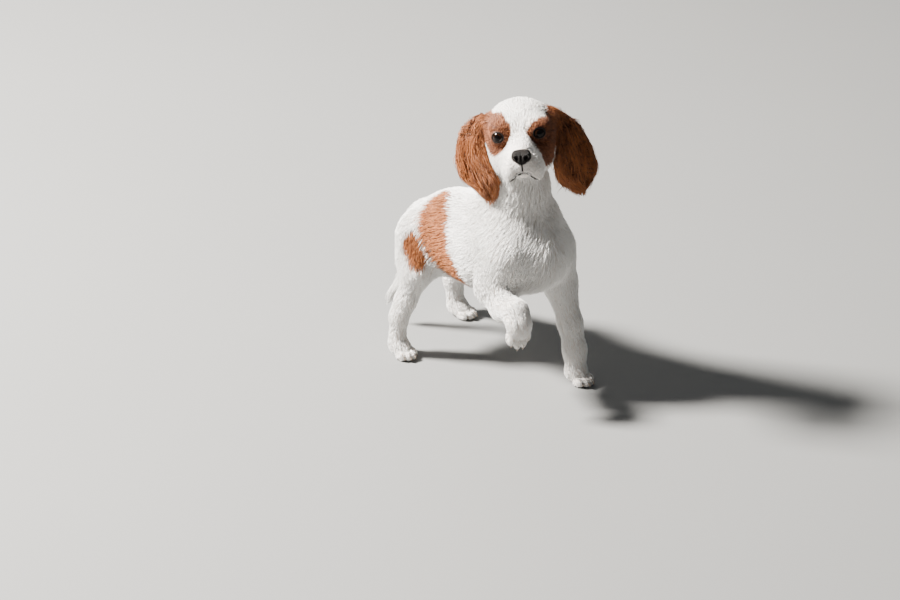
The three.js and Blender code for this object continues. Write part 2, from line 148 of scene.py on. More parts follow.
def smooth_path(points: Iterable[Place], count: int) -> Array:
    """Points spread evenly along a smooth curve through the given ones.

    Args:
        points: The places that the curve runs through.
        count: How many points to return.

    Returns:
        An array of count rows.
    """
    p = np.array(list(points), float)
    p = np.vstack([2 * p[0] - p[1], p, 2 * p[-1] - p[-2]])
    t = np.linspace(0, 1, 40, endpoint=False)[:, None]
    fine = []
    for k in range(1, len(p) - 2):
        a, b, c, d = p[k - 1], p[k], p[k + 1], p[k + 2]
        part = 2 * b + (c - a) * t + (2 * a - 5 * b + 4 * c - d) * t**2 + (3 * b - a - 3 * c + d) * t**3
        fine.append(part / 2)
    line = np.vstack([*fine, p[-2:-1]])
    run = np.concatenate([[0], np.cumsum(np.linalg.norm(np.diff(line, axis=0), axis=1))])
    at = np.linspace(0, run[-1], count)
    return np.column_stack([np.interp(at, run, line[:, k]) for k in range(3)])


def distance_to(points: Array, line: Array) -> Array:
    """Each point's distance from the nearest vertex of a finely divided line."""
    return np.min(length_of(points[:, None] - line[None]), axis=1)


def turn_matrix(roll: float, tip: float, yaw: float) -> Array:
    """The turn by degrees about X, then Y, then Z, as a 3 by 3 array."""
    return np.array(Euler([math.radians(a) for a in (roll, tip, yaw)], "XYZ").to_matrix())


# Hair and forms


@dataclass(frozen=True)
class Hair:
    """How the coat grows on a part of the body.

    Attributes:
        length: From root to tip.
        width: Of one tuft at its widest.
        depth: Height of the coat over the skin.
        density: Tufts to the square millimetre.
        wave: How far a hair swings to each side.
        hold: How closely the hair is kept down to the body, from 0 to 1.
        tint: 1 where it is chestnut all over, as on the ears.
    """

    length: float
    width: float
    depth: float
    density: float
    wave: float = 0.0
    hold: float = 1.0
    tint: float = 0.0

    def traits(self) -> Array:
        """The values in the order of the fields."""
        return np.array(astuple(self))


REACH_STEPS = 40  # enough for a ray to settle on a form
NORMAL = slice(0, 3)
LIE = slice(3, 6)
LENGTH, WIDTH, DEPTH, DENSITY, WAVE, HOLD, TINT = range(6, 13)
COLUMNS = 13

BARE = Hair(0, 0, 0, 0)
MUZZLE_HAIR = Hair(3.2, 0.56, 0.8, 1.45)
BRIDGE_HAIR = Hair(3.4, 0.6, 0.8, 1.35)
BROW_HAIR = Hair(4.4, 0.64, 1.0, 1.2)
SKULL_HAIR = Hair(6.8, 0.78, 1.4, 0.86)
CHEEK_HAIR = Hair(5.8, 0.74, 1.3, 0.95)
JAW_HAIR = Hair(4.6, 0.72, 1.0, 0.9)
NECK_HAIR = Hair(12.5, 0.9, 2.5, 0.51)
BREAST_HAIR = Hair(15, 0.92, 2.9, 0.52, wave=0.3, hold=0.85)
BACK_HAIR = Hair(10.5, 0.88, 2.1, 0.55)
THIGH_HAIR = Hair(10, 0.86, 2.0, 0.6)
UPPER_LEG_HAIR = Hair(8.5, 0.84, 1.8, 0.6)
LOWER_LEG_HAIR = Hair(6.2, 0.78, 1.3, 0.66)
FOOT_HAIR = Hair(4.6, 0.7, 0.9, 0.95)
FOLD_HAIR = Hair(9, 0.85, 1.9, 0.75, tint=1)
EAR_HAIR = Hair(29, 1.15, 3.2, 0.41, wave=1.2, hold=0.25, tint=1)
TAIL_HAIR = Hair(21, 1.05, 3.4, 0.7, wave=0.8, hold=0.3)


@dataclass
class Sample:
    """What a form says at some points.

    Attributes:
        distance: From the surface, negative inside.
        values: Columns with the way out, the lie of the hair and the hair's traits.
    """

    distance: Array
    values: Array

    def flowed(self, other: "Sample", soft: float) -> "Sample":
        """This form joined to another, flowing into it over about soft millimetres."""
        gap = self.distance - other.distance
        near = np.maximum(soft - np.abs(gap), 0) / soft
        share = np.where(gap > 0, 1 - near / 2, near / 2)[:, None]
        distance = np.minimum(self.distance, other.distance) - near * near * soft / 4
        return Sample(distance, self.values + (other.values - self.values) * share)


def sampled(distance: Array, outward: Array, lie: Array, hair: Hair) -> Sample:
    """Puts together what a simple form says."""
    count = len(distance)
    lies = np.broadcast_to(lie, (count, 3))
    traits = np.broadcast_to(hair.traits(), (count, len(hair.traits())))
    return Sample(distance, np.hstack([unit(outward), lies, traits]))


def egg_distance(q: Array, slope: Array) -> Array:
    """About how far points lie from an egg's surface.

    Args:
        q: The points in the frame where the egg is a ball of radius 1.
        slope: The same divided by the egg's radii once more.

    Returns:
        One distance for each point, negative inside.
    """
    size = length_of(q)
    return size * (size - 1) / np.maximum(length_of(slope), 1e-9)


class Form:
    """A shape that gives a point's distance from its surface and the hair that grows there."""

    def sample(self, points: Array) -> Sample:
        """Measures the form at points, one in each row."""
        raise NotImplementedError

    def block_out(self, bm: BMesh, place: Matrix) -> None:
        """Adds the form's plain solids to a bmesh.

        Args:
            bm: Receives the solids.
            place: Turns the form's own places to the maker's frame.
        """
        raise NotImplementedError

    def reach(self, start: Sequence[float], way: Sequence[float], proud: float = 0.0) -> Array:
        """The point where a ray from inside the form leaves it, and proud millimetres further."""
        ahead = unit(np.array(way, float))
        at = np.array(start, float)
        for _ in range(REACH_STEPS):
            at = at - ahead * self.sample(at[None]).distance[0]
        return at + ahead * proud


@dataclass(frozen=True)
class Limb(Form):
    """Flesh along a bone, from one joint to the next; its hair lies along way, or else the bone."""

    start: Place
    start_radius: float
    end: Place
    end_radius: float
    hair: Hair
    way: Place | None = None

    def sample(self, points: Array) -> Sample:
        """Measures the limb at points."""
        a = np.array(self.start, float)
        along = np.array(self.end, float) - a
        t = np.clip((points - a) @ along / (along @ along), 0, 1)
        away = points - a - t[:, None] * along
        radius = self.start_radius + (self.end_radius - self.start_radius) * t
        lie = unit(along if self.way is None else np.array(self.way, float))
        return sampled(length_of(away) - radius, away, lie, self.hair)

    def block_out(self, bm: BMesh, place: Matrix) -> None:
        """Adds a ball at each joint and a cone between them."""
        a, b = Vector(self.start), Vector(self.end)
        for at, radius in ((a, self.start_radius), (b, self.end_radius)):
            move = place @ Matrix.Translation(at)
            bmesh.ops.create_icosphere(bm, subdivisions=3, radius=radius, matrix=move)
        turn = (b - a).to_track_quat("Z", "Y").to_matrix().to_4x4()
        bmesh.ops.create_cone(
            bm,
            cap_ends=True,
            segments=28,
            radius1=self.start_radius,
            radius2=self.end_radius,
            depth=(b - a).length,
            matrix=place @ Matrix.Translation((a + b) / 2) @ turn,
        )


@dataclass(frozen=True)
class Mass(Form):
    """An egg-shaped mass, leaning forward by some degrees about the Y axis."""

    at: Place
    radii: Place
    hair: Hair
    way: Place = (0, 0, -1)
    lean: float = 0.0

    def sample(self, points: Array) -> Sample:
        """Measures the mass at points."""
        c, s = math.cos(math.radians(self.lean)), math.sin(math.radians(self.lean))
        radii = np.array(self.radii, float)
        x, y, z = (points - np.array(self.at)).T
        q = np.column_stack([x * c - z * s, y, x * s + z * c]) / radii
        slope = q / radii
        out = np.column_stack(
            [c * slope[:, 0] + s * slope[:, 2], slope[:, 1], c * slope[:, 2] - s * slope[:, 0]]
        )
        return sampled(egg_distance(q, slope), out, unit(np.array(self.way, float)), self.hair)

    def block_out(self, bm: BMesh, place: Matrix) -> None:
        """Adds a stretched ball."""
        lean = Matrix.Rotation(math.radians(self.lean), 4, "Y")
        stretch = Matrix.Diagonal((*self.radii, 1))
        move = place @ Matrix.Translation(self.at) @ lean @ stretch
        bmesh.ops.create_icosphere(bm, subdivisions=4, radius=1, matrix=move)


@dataclass(frozen=True)
class Lids(Form):
    """Both lids of an eye: a shell over the ball, open in front.

    Attributes:
        centre: The ball's middle.
        gaze: The way that the eye looks.
        ball: The ball's radius.
        half_width: Half the opening's width.
        upper: The opening's height over the gaze.
        lower: Its depth under the gaze.
        cover: How thick the lids lie over the ball.
        inset: How far the shell stands back under the ball in the opening.
    """

    centre: Place
    gaze: Place
    ball: float
    half_width: float = 5.1
    upper: float = 4.4
    lower: float = 4.1
    cover: float = 0.5
    inset: float = 1.8

    def near(self, points: Array) -> Array:
        """Which points lie at the ball or its lids."""
        return away_from(points, self.centre) < self.ball + 3

    def edge(self, points: Array) -> Array:
        """Each point's distance from the edge of the opening, negative in the opening."""
        gaze = unit(np.array(self.gaze, float))
        side = unit(np.cross((0, 0, 1), gaze))
        away = points - np.array(self.centre)
        x, y, z = away @ gaze, away @ side, away @ np.cross(gaze, side)
        tall = np.where(z > 0, self.upper, self.lower)
        size = np.maximum(np.hypot(y / self.half_width, z / tall), 1e-3)
        run = np.hypot(y, z) * (1 - 1 / size)
        return np.where(x > 0, run, 20)

    def sample(self, points: Array) -> Sample:
        """Measures the lids at points."""
        away = points - np.array(self.centre)
        edge = self.edge(points)
        swell = 0.35 * hump(edge - 1.0, 0.9) + 0.25 * (away[:, 2] > 0) * hump(edge - 2.0, 1.4)
        inner = (self.cover + self.inset) * smooth_fall(edge, -1.2, 0.15)
        radius = self.ball + self.cover + swell - inner
        return sampled(length_of(away) - radius, away, np.array((0, 0, 1.0)), BARE)


@dataclass(frozen=True)
class Leaf(Form):
    """An ear's flesh: a thin leaf along a spine, curled in a little at both edges.

    Attributes:
        spine: Places from the root to the tip.
        across: The way from the rear edge to the front one.
        widths: Full widths at equal steps along the spine.
        thick: The leaf's thickness.
        cup: How far the edges curl in.
        hair: The hair on it.
        margin: How far the flesh stops short of the widths at each edge.
        reach_share: Share of the spine that the flesh takes up.
        tip_trim: Share by which the hair is shorter at the tip.
        steps: How many stations measure the leaf.
    """

    spine: tuple[Place, ...]
    across: Place
    widths: tuple[float, ...]
    hair: Hair
    thick: float = 5.6
    cup: float = 5.0
    margin: float = 4.0
    reach_share: float = 0.82
    tip_trim: float = 0.5
    steps: int = 26

    def stations(self) -> tuple[Array, Array, Array, Array]:
        """The spine's points with, at each, the way ahead, the way out and half the width."""
        line = smooth_path(self.spine, 200)[: int(200 * self.reach_share)]
        line = line[np.linspace(0, len(line) - 1, self.steps).astype(int)]
        ahead = unit(np.gradient(line, axis=0))
        out = unit(np.cross(ahead, unit(np.array(self.across))))
        t = np.linspace(0, 1, self.steps)
        half = np.interp(t * self.reach_share, np.linspace(0, 1, len(self.widths)), self.widths) / 2
        end = np.minimum(1, 3.2 * np.sqrt(np.clip(t * (1 - t), 0.004, None)))
        return line, ahead, out, (half - self.margin) * end

    def spread(self, half: Array, line: Array) -> Array:
        """How far the hair at the edges leans with the leaf's outline, station by station."""
        run = length_of(np.gradient(line, axis=0))
        return 0.1 + np.clip(np.gradient(half) / run, -0.26, 0.15)

    def sample(self, points: Array) -> Sample:
        """Measures the leaf at points."""
        line, ahead, out, half = self.stations()
        across = unit(np.array(self.across))
        away = points[:, None] - line[None]
        side = away @ across
        k = np.argmin(length_of(away - side[..., None] * across), axis=1)
        rows = np.arange(len(points))
        away, side = away[rows, k], side[rows, k]
        run = np.einsum("ij,ij->i", away, ahead[k])
        run = np.where((k == 0) | (k == self.steps - 1), run, 0)
        u = side / half[k]
        w = np.einsum("ij,ij->i", away, out[k]) + self.cup * np.clip(u * u, 0, 2)
        flat = np.full(len(k), self.thick / 2)
        radii = np.column_stack([half[k], flat, flat])
        q = np.column_stack([u, w / radii[:, 1], run / radii[:, 2]])
        slope = q / radii
        spread = slope[:, 0] + slope[:, 1] * 2 * self.cup * u / half[k]
        way = spread[:, None] * across + slope[:, 1:2] * out[k] + slope[:, 2:3] * ahead[k]
        lie = unit(ahead[k] + across * (self.spread(half, line)[k] * np.clip(u, -1.2, 1.2))[:, None])
        found = sampled(egg_distance(q, slope), way, lie, self.hair)
        along = k / self.steps
        root = smooth_fall(along, 0.1, 0.5)
        found.values[:, LENGTH] *= (1 - self.tip_trim * along**1.5) * (1 - 0.68 * root)
        found.values[:, DENSITY] *= 1 + 1.1 * root
        found.values[:, WIDTH] *= 1 - 0.25 * root
        found.values[:, HOLD] += (1 - self.hair.hold) * root
        return found

    def block_out(self, bm: BMesh, place: Matrix) -> None:
        """Adds a ball bent and flattened to the leaf."""
        line, _, out, half = self.stations()
        across = unit(np.array(self.across))
        made = bmesh.ops.create_uvsphere(bm, u_segments=32, v_segments=40, radius=1)
        for v in made["verts"]:
            t = math.acos(max(-1.0, min(1.0, v.co.z))) / math.pi
            ring = math.hypot(v.co.x, v.co.y)
            u, w = (v.co.x / ring, v.co.y / ring) if ring > 1e-6 else (0.0, 0.0)
            k = round(t * (self.steps - 1))
            end = min(1.0, 4 * math.sqrt(max(t * (1 - t), 0)))
            rise = w * end * self.thick / 2 - self.cup * u * u
            v.co = place @ Vector(line[k] + across * u * half[k] * end + out[k] * rise)


@dataclass(frozen=True)
class Blend(Form):
    """Forms flowing into one another over about soft millimetres."""

    soft: float
    parts: tuple[Form, ...]

    def sample(self, points: Array) -> Sample:
        """Measures the joined forms at points."""
        total = self.parts[0].sample(points)
        for part in self.parts[1:]:
            total = total.flowed(part.sample(points), self.soft)
        return total

    def block_out(self, bm: BMesh, place: Matrix) -> None:
        """Adds each form's solids."""
        for part in self.parts:
            part.block_out(bm, place)


@dataclass(frozen=True)
class Squeezed(Form):
    """A form squeezed sideways about the dog's middle plane."""

    form: Form
    width: float

    def sample(self, points: Array) -> Sample:
        """Measures the squeezed form at points."""
        scale = np.array((1, self.width, 1))
        found = self.form.sample(points / scale)
        found.values[:, NORMAL] = unit(found.values[:, NORMAL] / scale)
        return Sample(found.distance * self.width, found.values)

    def block_out(self, bm: BMesh, place: Matrix) -> None:
        """Adds the squeezed solids."""
        self.form.block_out(bm, place @ Matrix.Diagonal((1, self.width, 1, 1)))


@dataclass(frozen=True)
class Turned(Form):
    """A form in a frame of its own, such as the head or a paw.

    Attributes:
        form: The form in its own frame.
        at: Where its origin lies.
        turns: Degrees of roll, tip and yaw.
        radius: Past this distance from the origin the form plays no part.
        clear: The distance from the form that is taken there.
    """

    form: Form
    at: Place
    turns: Place
    radius: float
    clear: float = 18.0

    def matrix(self) -> Array:
        """The turn as a 3 by 3 array."""
        return turn_matrix(*self.turns)

    def inward(self, points: Array) -> Array:
        """Places of the maker's frame in the form's own."""
        return (points - np.array(self.at)) @ self.matrix()

    def outward(self, points: Array) -> Array:
        """Places of the form's own frame in the maker's."""
        return points @ self.matrix().T + np.array(self.at)

    def sample(self, points: Array) -> Sample:
        """Measures the turned form at points."""
        gap = away_from(points, self.at) - self.radius
        near = gap < 0
        distance = gap + self.clear
        values = np.zeros((len(points), COLUMNS))
        if near.any():
            found = self.form.sample(self.inward(points[near]))
            for part in (NORMAL, LIE):
                found.values[:, part] = found.values[:, part] @ self.matrix().T
            distance[near] = found.distance
            values[near] = found.values
        return Sample(distance, values)

    def block_out(self, bm: BMesh, place: Matrix) -> None:
        """Adds the turned solids."""
        turn = Matrix(self.matrix().tolist()).to_4x4()
        self.form.block_out(bm, place @ Matrix.Translation(self.at) @ turn)


def chain(joints: Sequence[Joint], hairs: Sequence[Hair], way: Place | None = None) -> list[Limb]:
    """Limbs from joint to joint.

    Args:
        joints: Places with the radius of flesh and coat at each.
        hairs: The hair of each limb; the last one serves for the rest.
        way: The lie of the hair, where it isn't along the limbs.

    Returns:
        The limbs, one fewer than the joints.
    """
    limbs = []
    for k in range(len(joints) - 1):
        (a, ra), (b, rb) = joints[k], joints[k + 1]
        limbs.append(Limb(a, ra, b, rb, hairs[min(k, len(hairs) - 1)], way))
    return limbs


# The dog's shape


@dataclass(frozen=True)
class Trunk:
    """The trunk from rump to breast, squeezed to a share of its width, and the neck."""

    joints: tuple[Joint, ...] = (
        ((7, 0, 121), 31),
        ((44, 0, 127), 43),
        ((90, 0, 132), 48),
        ((130, 0, 138), 44),
        ((153, 2, 134), 28),
    )
    width: float = 0.88
    lie: Place = (-1, 0, -0.5)
    breast_lie: Place = (0, 0, -1)
    neck: tuple[Joint, ...] = (((120, 0, 160), 43), ((127, -2, 198), 28), ((132.5, -11, 242), 25))
    nape: tuple[Joint, ...] = (((108, 4, 160), 38), ((114, 7, 198), 28), ((119, 5, 236), 24))
    shoulder: Egg = ((139, 17, 167), (20, 19, 22))
    neck_lie: Place = (-0.35, 0, -1)

    def form(self) -> Form:
        """Trunk and neck as one form."""
        back = chain(self.joints[:4], [BACK_HAIR], self.lie)
        breast = chain(self.joints[3:], [BREAST_HAIR], self.breast_lie)
        trunk = Squeezed(Blend(14, (*back, *breast)), self.width)
        throat, nape = (chain(path, [NECK_HAIR], self.neck_lie) for path in (self.neck, self.nape))
        neck = Blend(10, (*throat, *nape, Mass(*self.shoulder, NECK_HAIR, self.neck_lie)))
        return Blend(12, (trunk, neck))


@dataclass(frozen=True)
class Paw:
    """A paw from its own middle: the palm, four toes with claws, and the pads under them.

    Attributes:
        at: The paw's middle.
        turn: Degrees to the dog's left.
        droop: Degrees that the toes hang.
        palm: The palm's middle and radii.
        toes: Each toe's middle, and half its length.
        toe_width: Half a toe's width.
        toe_height: Half its height.
        pads: Middle and radii of each pad.
        size: Past this distance from the middle the paw plays no part.
    """

    at: Place
    turn: float
    droop: float = 0.0
    palm: Egg = ((-3, 0, 1), (13, 10.5, 9.5))
    toes: tuple[tuple[float, ...], ...] = (
        (7, 7.6, -3, 7.2),
        (10.5, 2.7, -2.6, 8),
        (10.5, -2.7, -2.6, 8),
        (7, -7.6, -3, 7.2),
    )
    toe_width: float = 3.9
    toe_height: float = 5.4
    pads: tuple[Egg, ...] = (
        ((-3.5, 0, -6.4), (6.4, 6.2, 2.6)),
        ((9.8, 2.9, -6.2), (3.7, 2.7, 2.0)),
        ((9.8, -2.9, -6.2), (3.7, 2.7, 2.0)),
        ((5.6, 7.4, -6.4), (3.4, 2.6, 2.0)),
        ((5.6, -7.4, -6.4), (3.4, 2.6, 2.0)),
    )
    size: float = 46.0

    def placed(self, form: Form) -> Turned:
        """A form of the paw's own frame, in the maker's."""
        return Turned(form, self.at, (0, self.droop, self.turn), self.size)

    def form(self) -> Turned:
        """Palm and toes."""
        lie = (1, 0, -0.35)
        thick = (self.toe_width, self.toe_height)
        toes = [Mass((x, y, z), (long, *thick), FOOT_HAIR, lie) for x, y, z, long in self.toes]
        return self.placed(Blend(2.2, (Mass(*self.palm, FOOT_HAIR, lie), *toes)))

    def pad_form(self) -> Turned:
        """The bare pads."""
        return self.placed(Blend(0.8, tuple(Mass(at, radii, BARE) for at, radii in self.pads)))


@dataclass(frozen=True)
class Leg:
    """A leg: its joints from the top down, its muscle that leans by some degrees, and its paw."""

    joints: tuple[Joint, ...]
    muscle: Egg
    lean: float
    paw: Paw
    back: Egg | None = None
    hairs: tuple[Hair, ...] = (THIGH_HAIR, UPPER_LEG_HAIR, LOWER_LEG_HAIR, LOWER_LEG_HAIR)

    def form(self) -> Form:
        """The leg and its paw as one form."""
        muscles = [Mass(*self.muscle, THIGH_HAIR, (-0.3, 0, -1), self.lean)]
        if self.back:
            muscles.append(Mass(*self.back, THIGH_HAIR, (-0.2, 0, -1)))
        flesh = Blend(9, (*chain(self.joints, self.hairs), *muscles))
        return Blend(5, (flesh, self.paw.form()))


LEGS = {
    "fore_leg_left": Leg(
        (
            ((145, 29, 136), 20),
            ((149, 35, 96), 16),
            ((165, 34, 56), 11),
            ((173, 32, 32), 10.5),
            ((177, 30, 15), 10.5),
        ),
        ((143, 28, 132), (25, 18, 34)),
        -12,
        Paw((181, 29, 7.5), -4),
    ),
    "fore_leg_right": Leg(
        (
            ((134, -30, 138), 22),
            ((128, -37, 108), 17.5),
            ((152, -47, 98), 13),
            ((171, -53, 102), 11.5),
            ((178.5, -55.5, 94.5), 11),
        ),
        ((130, -27, 130), (25, 18, 33)),
        -6,
        Paw(
            (180, -57.2, 88),
            -12,
            74,
            palm=((-3, 0, 1), (13, 12.5, 10.5)),
            toes=(
                (7, 9.2, -3, 7.4),
                (10.8, 3.2, -2.6, 8.2),
                (10.8, -3.2, -2.6, 8.2),
                (7, -9.2, -3, 7.4),
            ),
            toe_width=4.3,
        ),
    ),
    "hind_leg_left": Leg(
        (
            ((16, 25, 122), 25),
            ((24, 38, 94), 18),
            ((-2, 50, 58), 10.5),
            ((-14, 53, 40), 9.5),
            ((-12, 54, 15), 9.5),
        ),
        ((17, 25, 114), (31, 18, 37)),
        14,
        Paw((-4, 54, 7.5), 6),
        ((11, 34, 98), (15, 14, 24)),
    ),
    "hind_leg_right": Leg(
        (
            ((17, -25, 122), 25),
            ((25, -38, 92), 15),
            ((16, -47, 58), 9.8),
            ((11, -50.5, 42), 8.4),
            ((10, -53, 15), 9.2),
        ),
        ((18, -25, 114), (31, 18, 37)),
        14,
        Paw((17, -53, 7.5), -8),
        ((11, -34, 98), (15, 14, 24)),
    ),
}


@dataclass(frozen=True)
class Tail:
    """The tail's flesh along its path, with its radius at the root and the tip."""

    path: tuple[Place, ...] = ((-4, 0, 131), (-18, 2, 112), (-25, 1, 84), (-32, -3, 55), (-41, -9, 34))
    root: float = 6.5
    tip: float = 5.0

    def form(self) -> Form:
        """The tail as one form."""
        last = len(self.path) - 1
        joints = [(at, self.root + (self.tip - self.root) * k / last) for k, at in enumerate(self.path)]
        return Blend(4, tuple(chain(joints, [BACK_HAIR, TAIL_HAIR])))


@dataclass(frozen=True)
class Head:
    """The head in its own frame, with the middle of the skull at the origin and the nose on +X."""

    at: Place = (137, -12, 262)
    turns: Place = (6, -10, -47.5)
    cranium: Egg = ((-3, 0, 3), (39, 34, 31))
    brow: Egg = ((24, 17, 13), (10, 11, 7))
    cheek: Egg = ((13, 19, -14), (20, 11.5, 20))
    bridge: tuple[Joint, ...] = (((22, 0, -4), 14), ((52, 0, -9), 10))
    flew: Egg = ((40, 11.5, -22), (19, 9.5, 15))
    pad: Egg = ((46, 0, -20), (13, 9, 11))
    jaw: tuple[Joint, ...] = (((8, 0, -24), 14), ((37, 0, -30), 9.2))
    soft: float = 9.0  # how widely the forms flow together
    size: float = 110.0  # past this distance from the origin the head plays no part

    def placed(self, form: Form, size: float | None = None) -> Turned:
        """A form of the head's own frame, in the maker's."""
        return Turned(form, self.at, self.turns, size or self.size)

    def skull(self) -> Blend:
        """The head's form in its own frame."""
        parts: list[Form] = [
            Mass(*self.cranium, SKULL_HAIR, (-1, 0, -0.3)),
            Mass(*self.pad, MUZZLE_HAIR, (-0.25, 0, -1)),
            *chain(self.bridge, [BRIDGE_HAIR], (-1, 0, 0.25)),
            *chain(self.jaw, [JAW_HAIR], (-1, 0, -0.2)),
        ]
        for side in SIDES.values():
            for (at, radii), hair, way in (
                (self.brow, BROW_HAIR, (-0.6, 0.4, 0.7)),
                (self.cheek, CHEEK_HAIR, (-0.85, 0.2, -0.5)),
                (self.flew, MUZZLE_HAIR, (-0.6, 0.25, -0.75)),
            ):
                parts.append(Mass(mirrored(at, side), radii, hair, mirrored(way, side)))
        return Blend(self.soft, tuple(parts))


HEAD = Head()
SKULL = HEAD.skull()


def to_head(points: Array) -> Array:
    """Places of the maker's frame in the head's own."""
    return HEAD.placed(SKULL).inward(points)


def from_head(points: Array) -> Array:
    """Places of the head's own frame in the maker's."""
    return HEAD.placed(SKULL).outward(points)


EARS = {
    "ear_right": Leaf(
        ((-6, -33, 25), (-7, -47, 4), (-6, -49, -25), (-1, -37, -58)),
        (0.55, 0.835, 0),
        (20, 36, 42, 50, 52, 42),
        EAR_HAIR,
        reach_share=0.9,
        tip_trim=0.35,
    ),
    "ear_left": Leaf(
        ((-6, 29, 26), (-7, 44, 4), (-5, 49.5, -24), (-4, 55, -58)),
        (-0.6, 0.8, 0),
        (16, 32, 45, 57, 58, 44),
        EAR_HAIR,
        reach_share=0.94,
        tip_trim=0.35,
    ),
}
EAR_FOLDS = {
    "ear_right": Mass((-5, -30, 13), (12, 9.5, 7.5), FOLD_HAIR, (-0.2, -0.7, -0.7)),
    "ear_left": Mass((-5, 29, 15), (12, 9.5, 7.5), FOLD_HAIR, (-0.2, 0.7, -0.7)),
}


@dataclass(frozen=True)
class Eye:
    """One eye in the head's frame: the ball and the rim of its lids.

    Attributes:
        side: 1 on the dog's left, -1 on its right.
        move: Sets the ball right after it has been placed.
        source: Where the ray to the face starts.
        way: The way that the left eye looks.
        radius: The ball's radius.
        proud: How far the ball stands out of the head's plain form.
    """

    side: int
    move: Place
    source: Place = (0, 8, 4)
    way: Place = (1, 0.34, 0.07)
    radius: float = 8.6
    proud: float = 2.4

    def gaze(self) -> Array:
        """The way that the eye looks."""
        return unit(np.array(mirrored(self.way, self.side)))

    def centre(self) -> Array:
        """The ball's middle, set in so that it stands only a little proud of the solids' face."""
        start = mirrored(self.source, self.side)
        return SKULL.reach(start, self.gaze(), self.proud - self.radius) + np.array(self.move)

    def lids(self) -> Lids:
        """The lids over the ball."""
        return Lids(tuple(self.centre()), tuple(self.gaze()), self.radius)


EYES = {"left": Eye(1, (0, -1.4, 0)), "right": Eye(-1, (0, -1.4, -1.0))}


@dataclass(frozen=True)
class Mouth:
    """The closed mouth: stations on the muzzle by angle off the nose and by height.

    Attributes:
        middle: The x that the angles turn about.
        stations: Degrees off the nose and the height of the lips there.
        groove: How deep the lips' line is pressed in.
        width: Half its width.
        parting_top: Where the furrow under the nose starts.
        overhang: How far the chin stands back under the lips.
    """

    middle: float = 36.0
    stations: tuple[tuple[float, float], ...] = (
        (0, -24),
        (11, -24.6),
        (21, -27.5),
        (35, -31.8),
        (48, -35),
        (66, -36.2),
        (90, -34),
        (118, -29),
    )
    groove: float = 1.8
    width: float = 0.9
    parting_top: float = -15.0
    overhang: float = 8.5

    def under_line(self, points: Array, line: Array) -> Array:
        """How far points of the head's frame lie under the mouth's line."""
        half = line[(line[:, 1] >= 0) & (line[:, 0] > self.middle)]
        half = half[np.argsort(half[:, 1])]
        return np.interp(np.abs(points[:, 1]), half[:, 1], half[:, 2]) - points[:, 2]

    def chin(self, points: Array, line: Array) -> Array:
        """How far the chin is set back under the lips at points of the head's frame."""
        below, side = self.under_line(points, line), np.abs(points[:, 1])
        back = smooth_step(below, -0.4, 2.2) * smooth_fall(below, 12, 24)
        return self.overhang * back * smooth_fall(side, 13, 18) * smooth_step(points[:, 0], 20, 32)

    def lip_pigment_and_chin_shade(self, points: Array, line: Array) -> Array:
        """How dark the inner side of the lips is at points of the head's frame: their own dark pigment,
        running on down the chin as painted shade under the flews.
        """
        below, side = self.under_line(points, line), np.abs(points[:, 1])
        # partly painted shade: the dark runs several millimetres down the chin under the flews
        dark = smooth_step(below, -0.3, 0.4) * smooth_fall(below, 4.6, 7.4)
        return dark * smooth_fall(side, 12.5, 15.5) * smooth_step(points[:, 0], 26, 32)

    def line(self) -> Array:
        """The mouth's line from corner to corner, in the head's frame."""
        halves = []
        for side in (-1, 1):
            starts = [((self.middle, 0, z), degrees_way(turn, side)) for turn, z in self.stations]
            halves.append([tuple(SKULL.reach(start, way, -1.2)) for start, way in starts])
        return smooth_path(halves[0][::-1] + halves[1][1:], 150)

    def parting(self) -> Array:
        """The furrow from the nose down to the mouth."""
        starts = [(self.middle, 0, z) for z in (self.parting_top, self.stations[0][1])]
        return smooth_path([tuple(SKULL.reach(start, (1, 0, 0), -1)) for start in starts], 14)


@dataclass(frozen=True)
class Flesh(Form):
    """The skin's surface: the body less its coat, with the mouth's line and the furrow under the nose."""

    body: Form
    mouth_line: Array = field(repr=False)
    parting_line: Array = field(repr=False)
    mouth: Mouth = Mouth()
    lip: float = 0.6  # how full the lips stand beside their line

    def sample(self, points: Array) -> Sample:
        """Measures the skin at points."""
        found = self.body.sample(points)
        inset = found.values[:, DEPTH].copy()
        local = to_head(points)
        near = muzzle_zone(local)
        if near.any():
            spots = local[near]
            mouth = distance_to(spots, self.mouth_line)
            parting = distance_to(spots, self.parting_line)
            dip = np.maximum(self.mouth.groove * hump(mouth, self.mouth.width), hump(parting, 0.8))
            dip = np.maximum(dip, self.mouth.chin(spots, self.mouth_line))
            inset[near] += dip - self.lip * hump(mouth - 2.2, 1.1) + NOSE.bed(spots)
        return Sample(found.distance + inset, found.values)


def muzzle_zone(local: Array) -> Array:
    """Which points of the head's frame lie on the muzzle or the chin."""
    return away_from(local, (42, 0, -24)) < 36


@dataclass(frozen=True)
class Dressed(Form):
    """A form with other hair than its own in places."""

    form: Form

    def block_out(self, bm: BMesh, place: Matrix) -> None:
        """Adds the form's solids."""
        self.form.block_out(bm, place)


@dataclass(frozen=True)
class Fringed(Dressed):
    """A form whose hair differs round some spots, each with a radius, the hair's length and its hold."""

    spots: tuple[tuple[Place, float, float, float], ...]

    def sample(self, points: Array) -> Sample:
        """Measures the form at points."""
        found = self.form.sample(points)
        for at, radius, length, hold in self.spots:
            share = smooth_fall(away_from(points, at), 0.3 * radius, radius)
            for column, value in ((LENGTH, length), (HOLD, hold)):
                found.values[:, column] += share * (value - found.values[:, column])
        return found


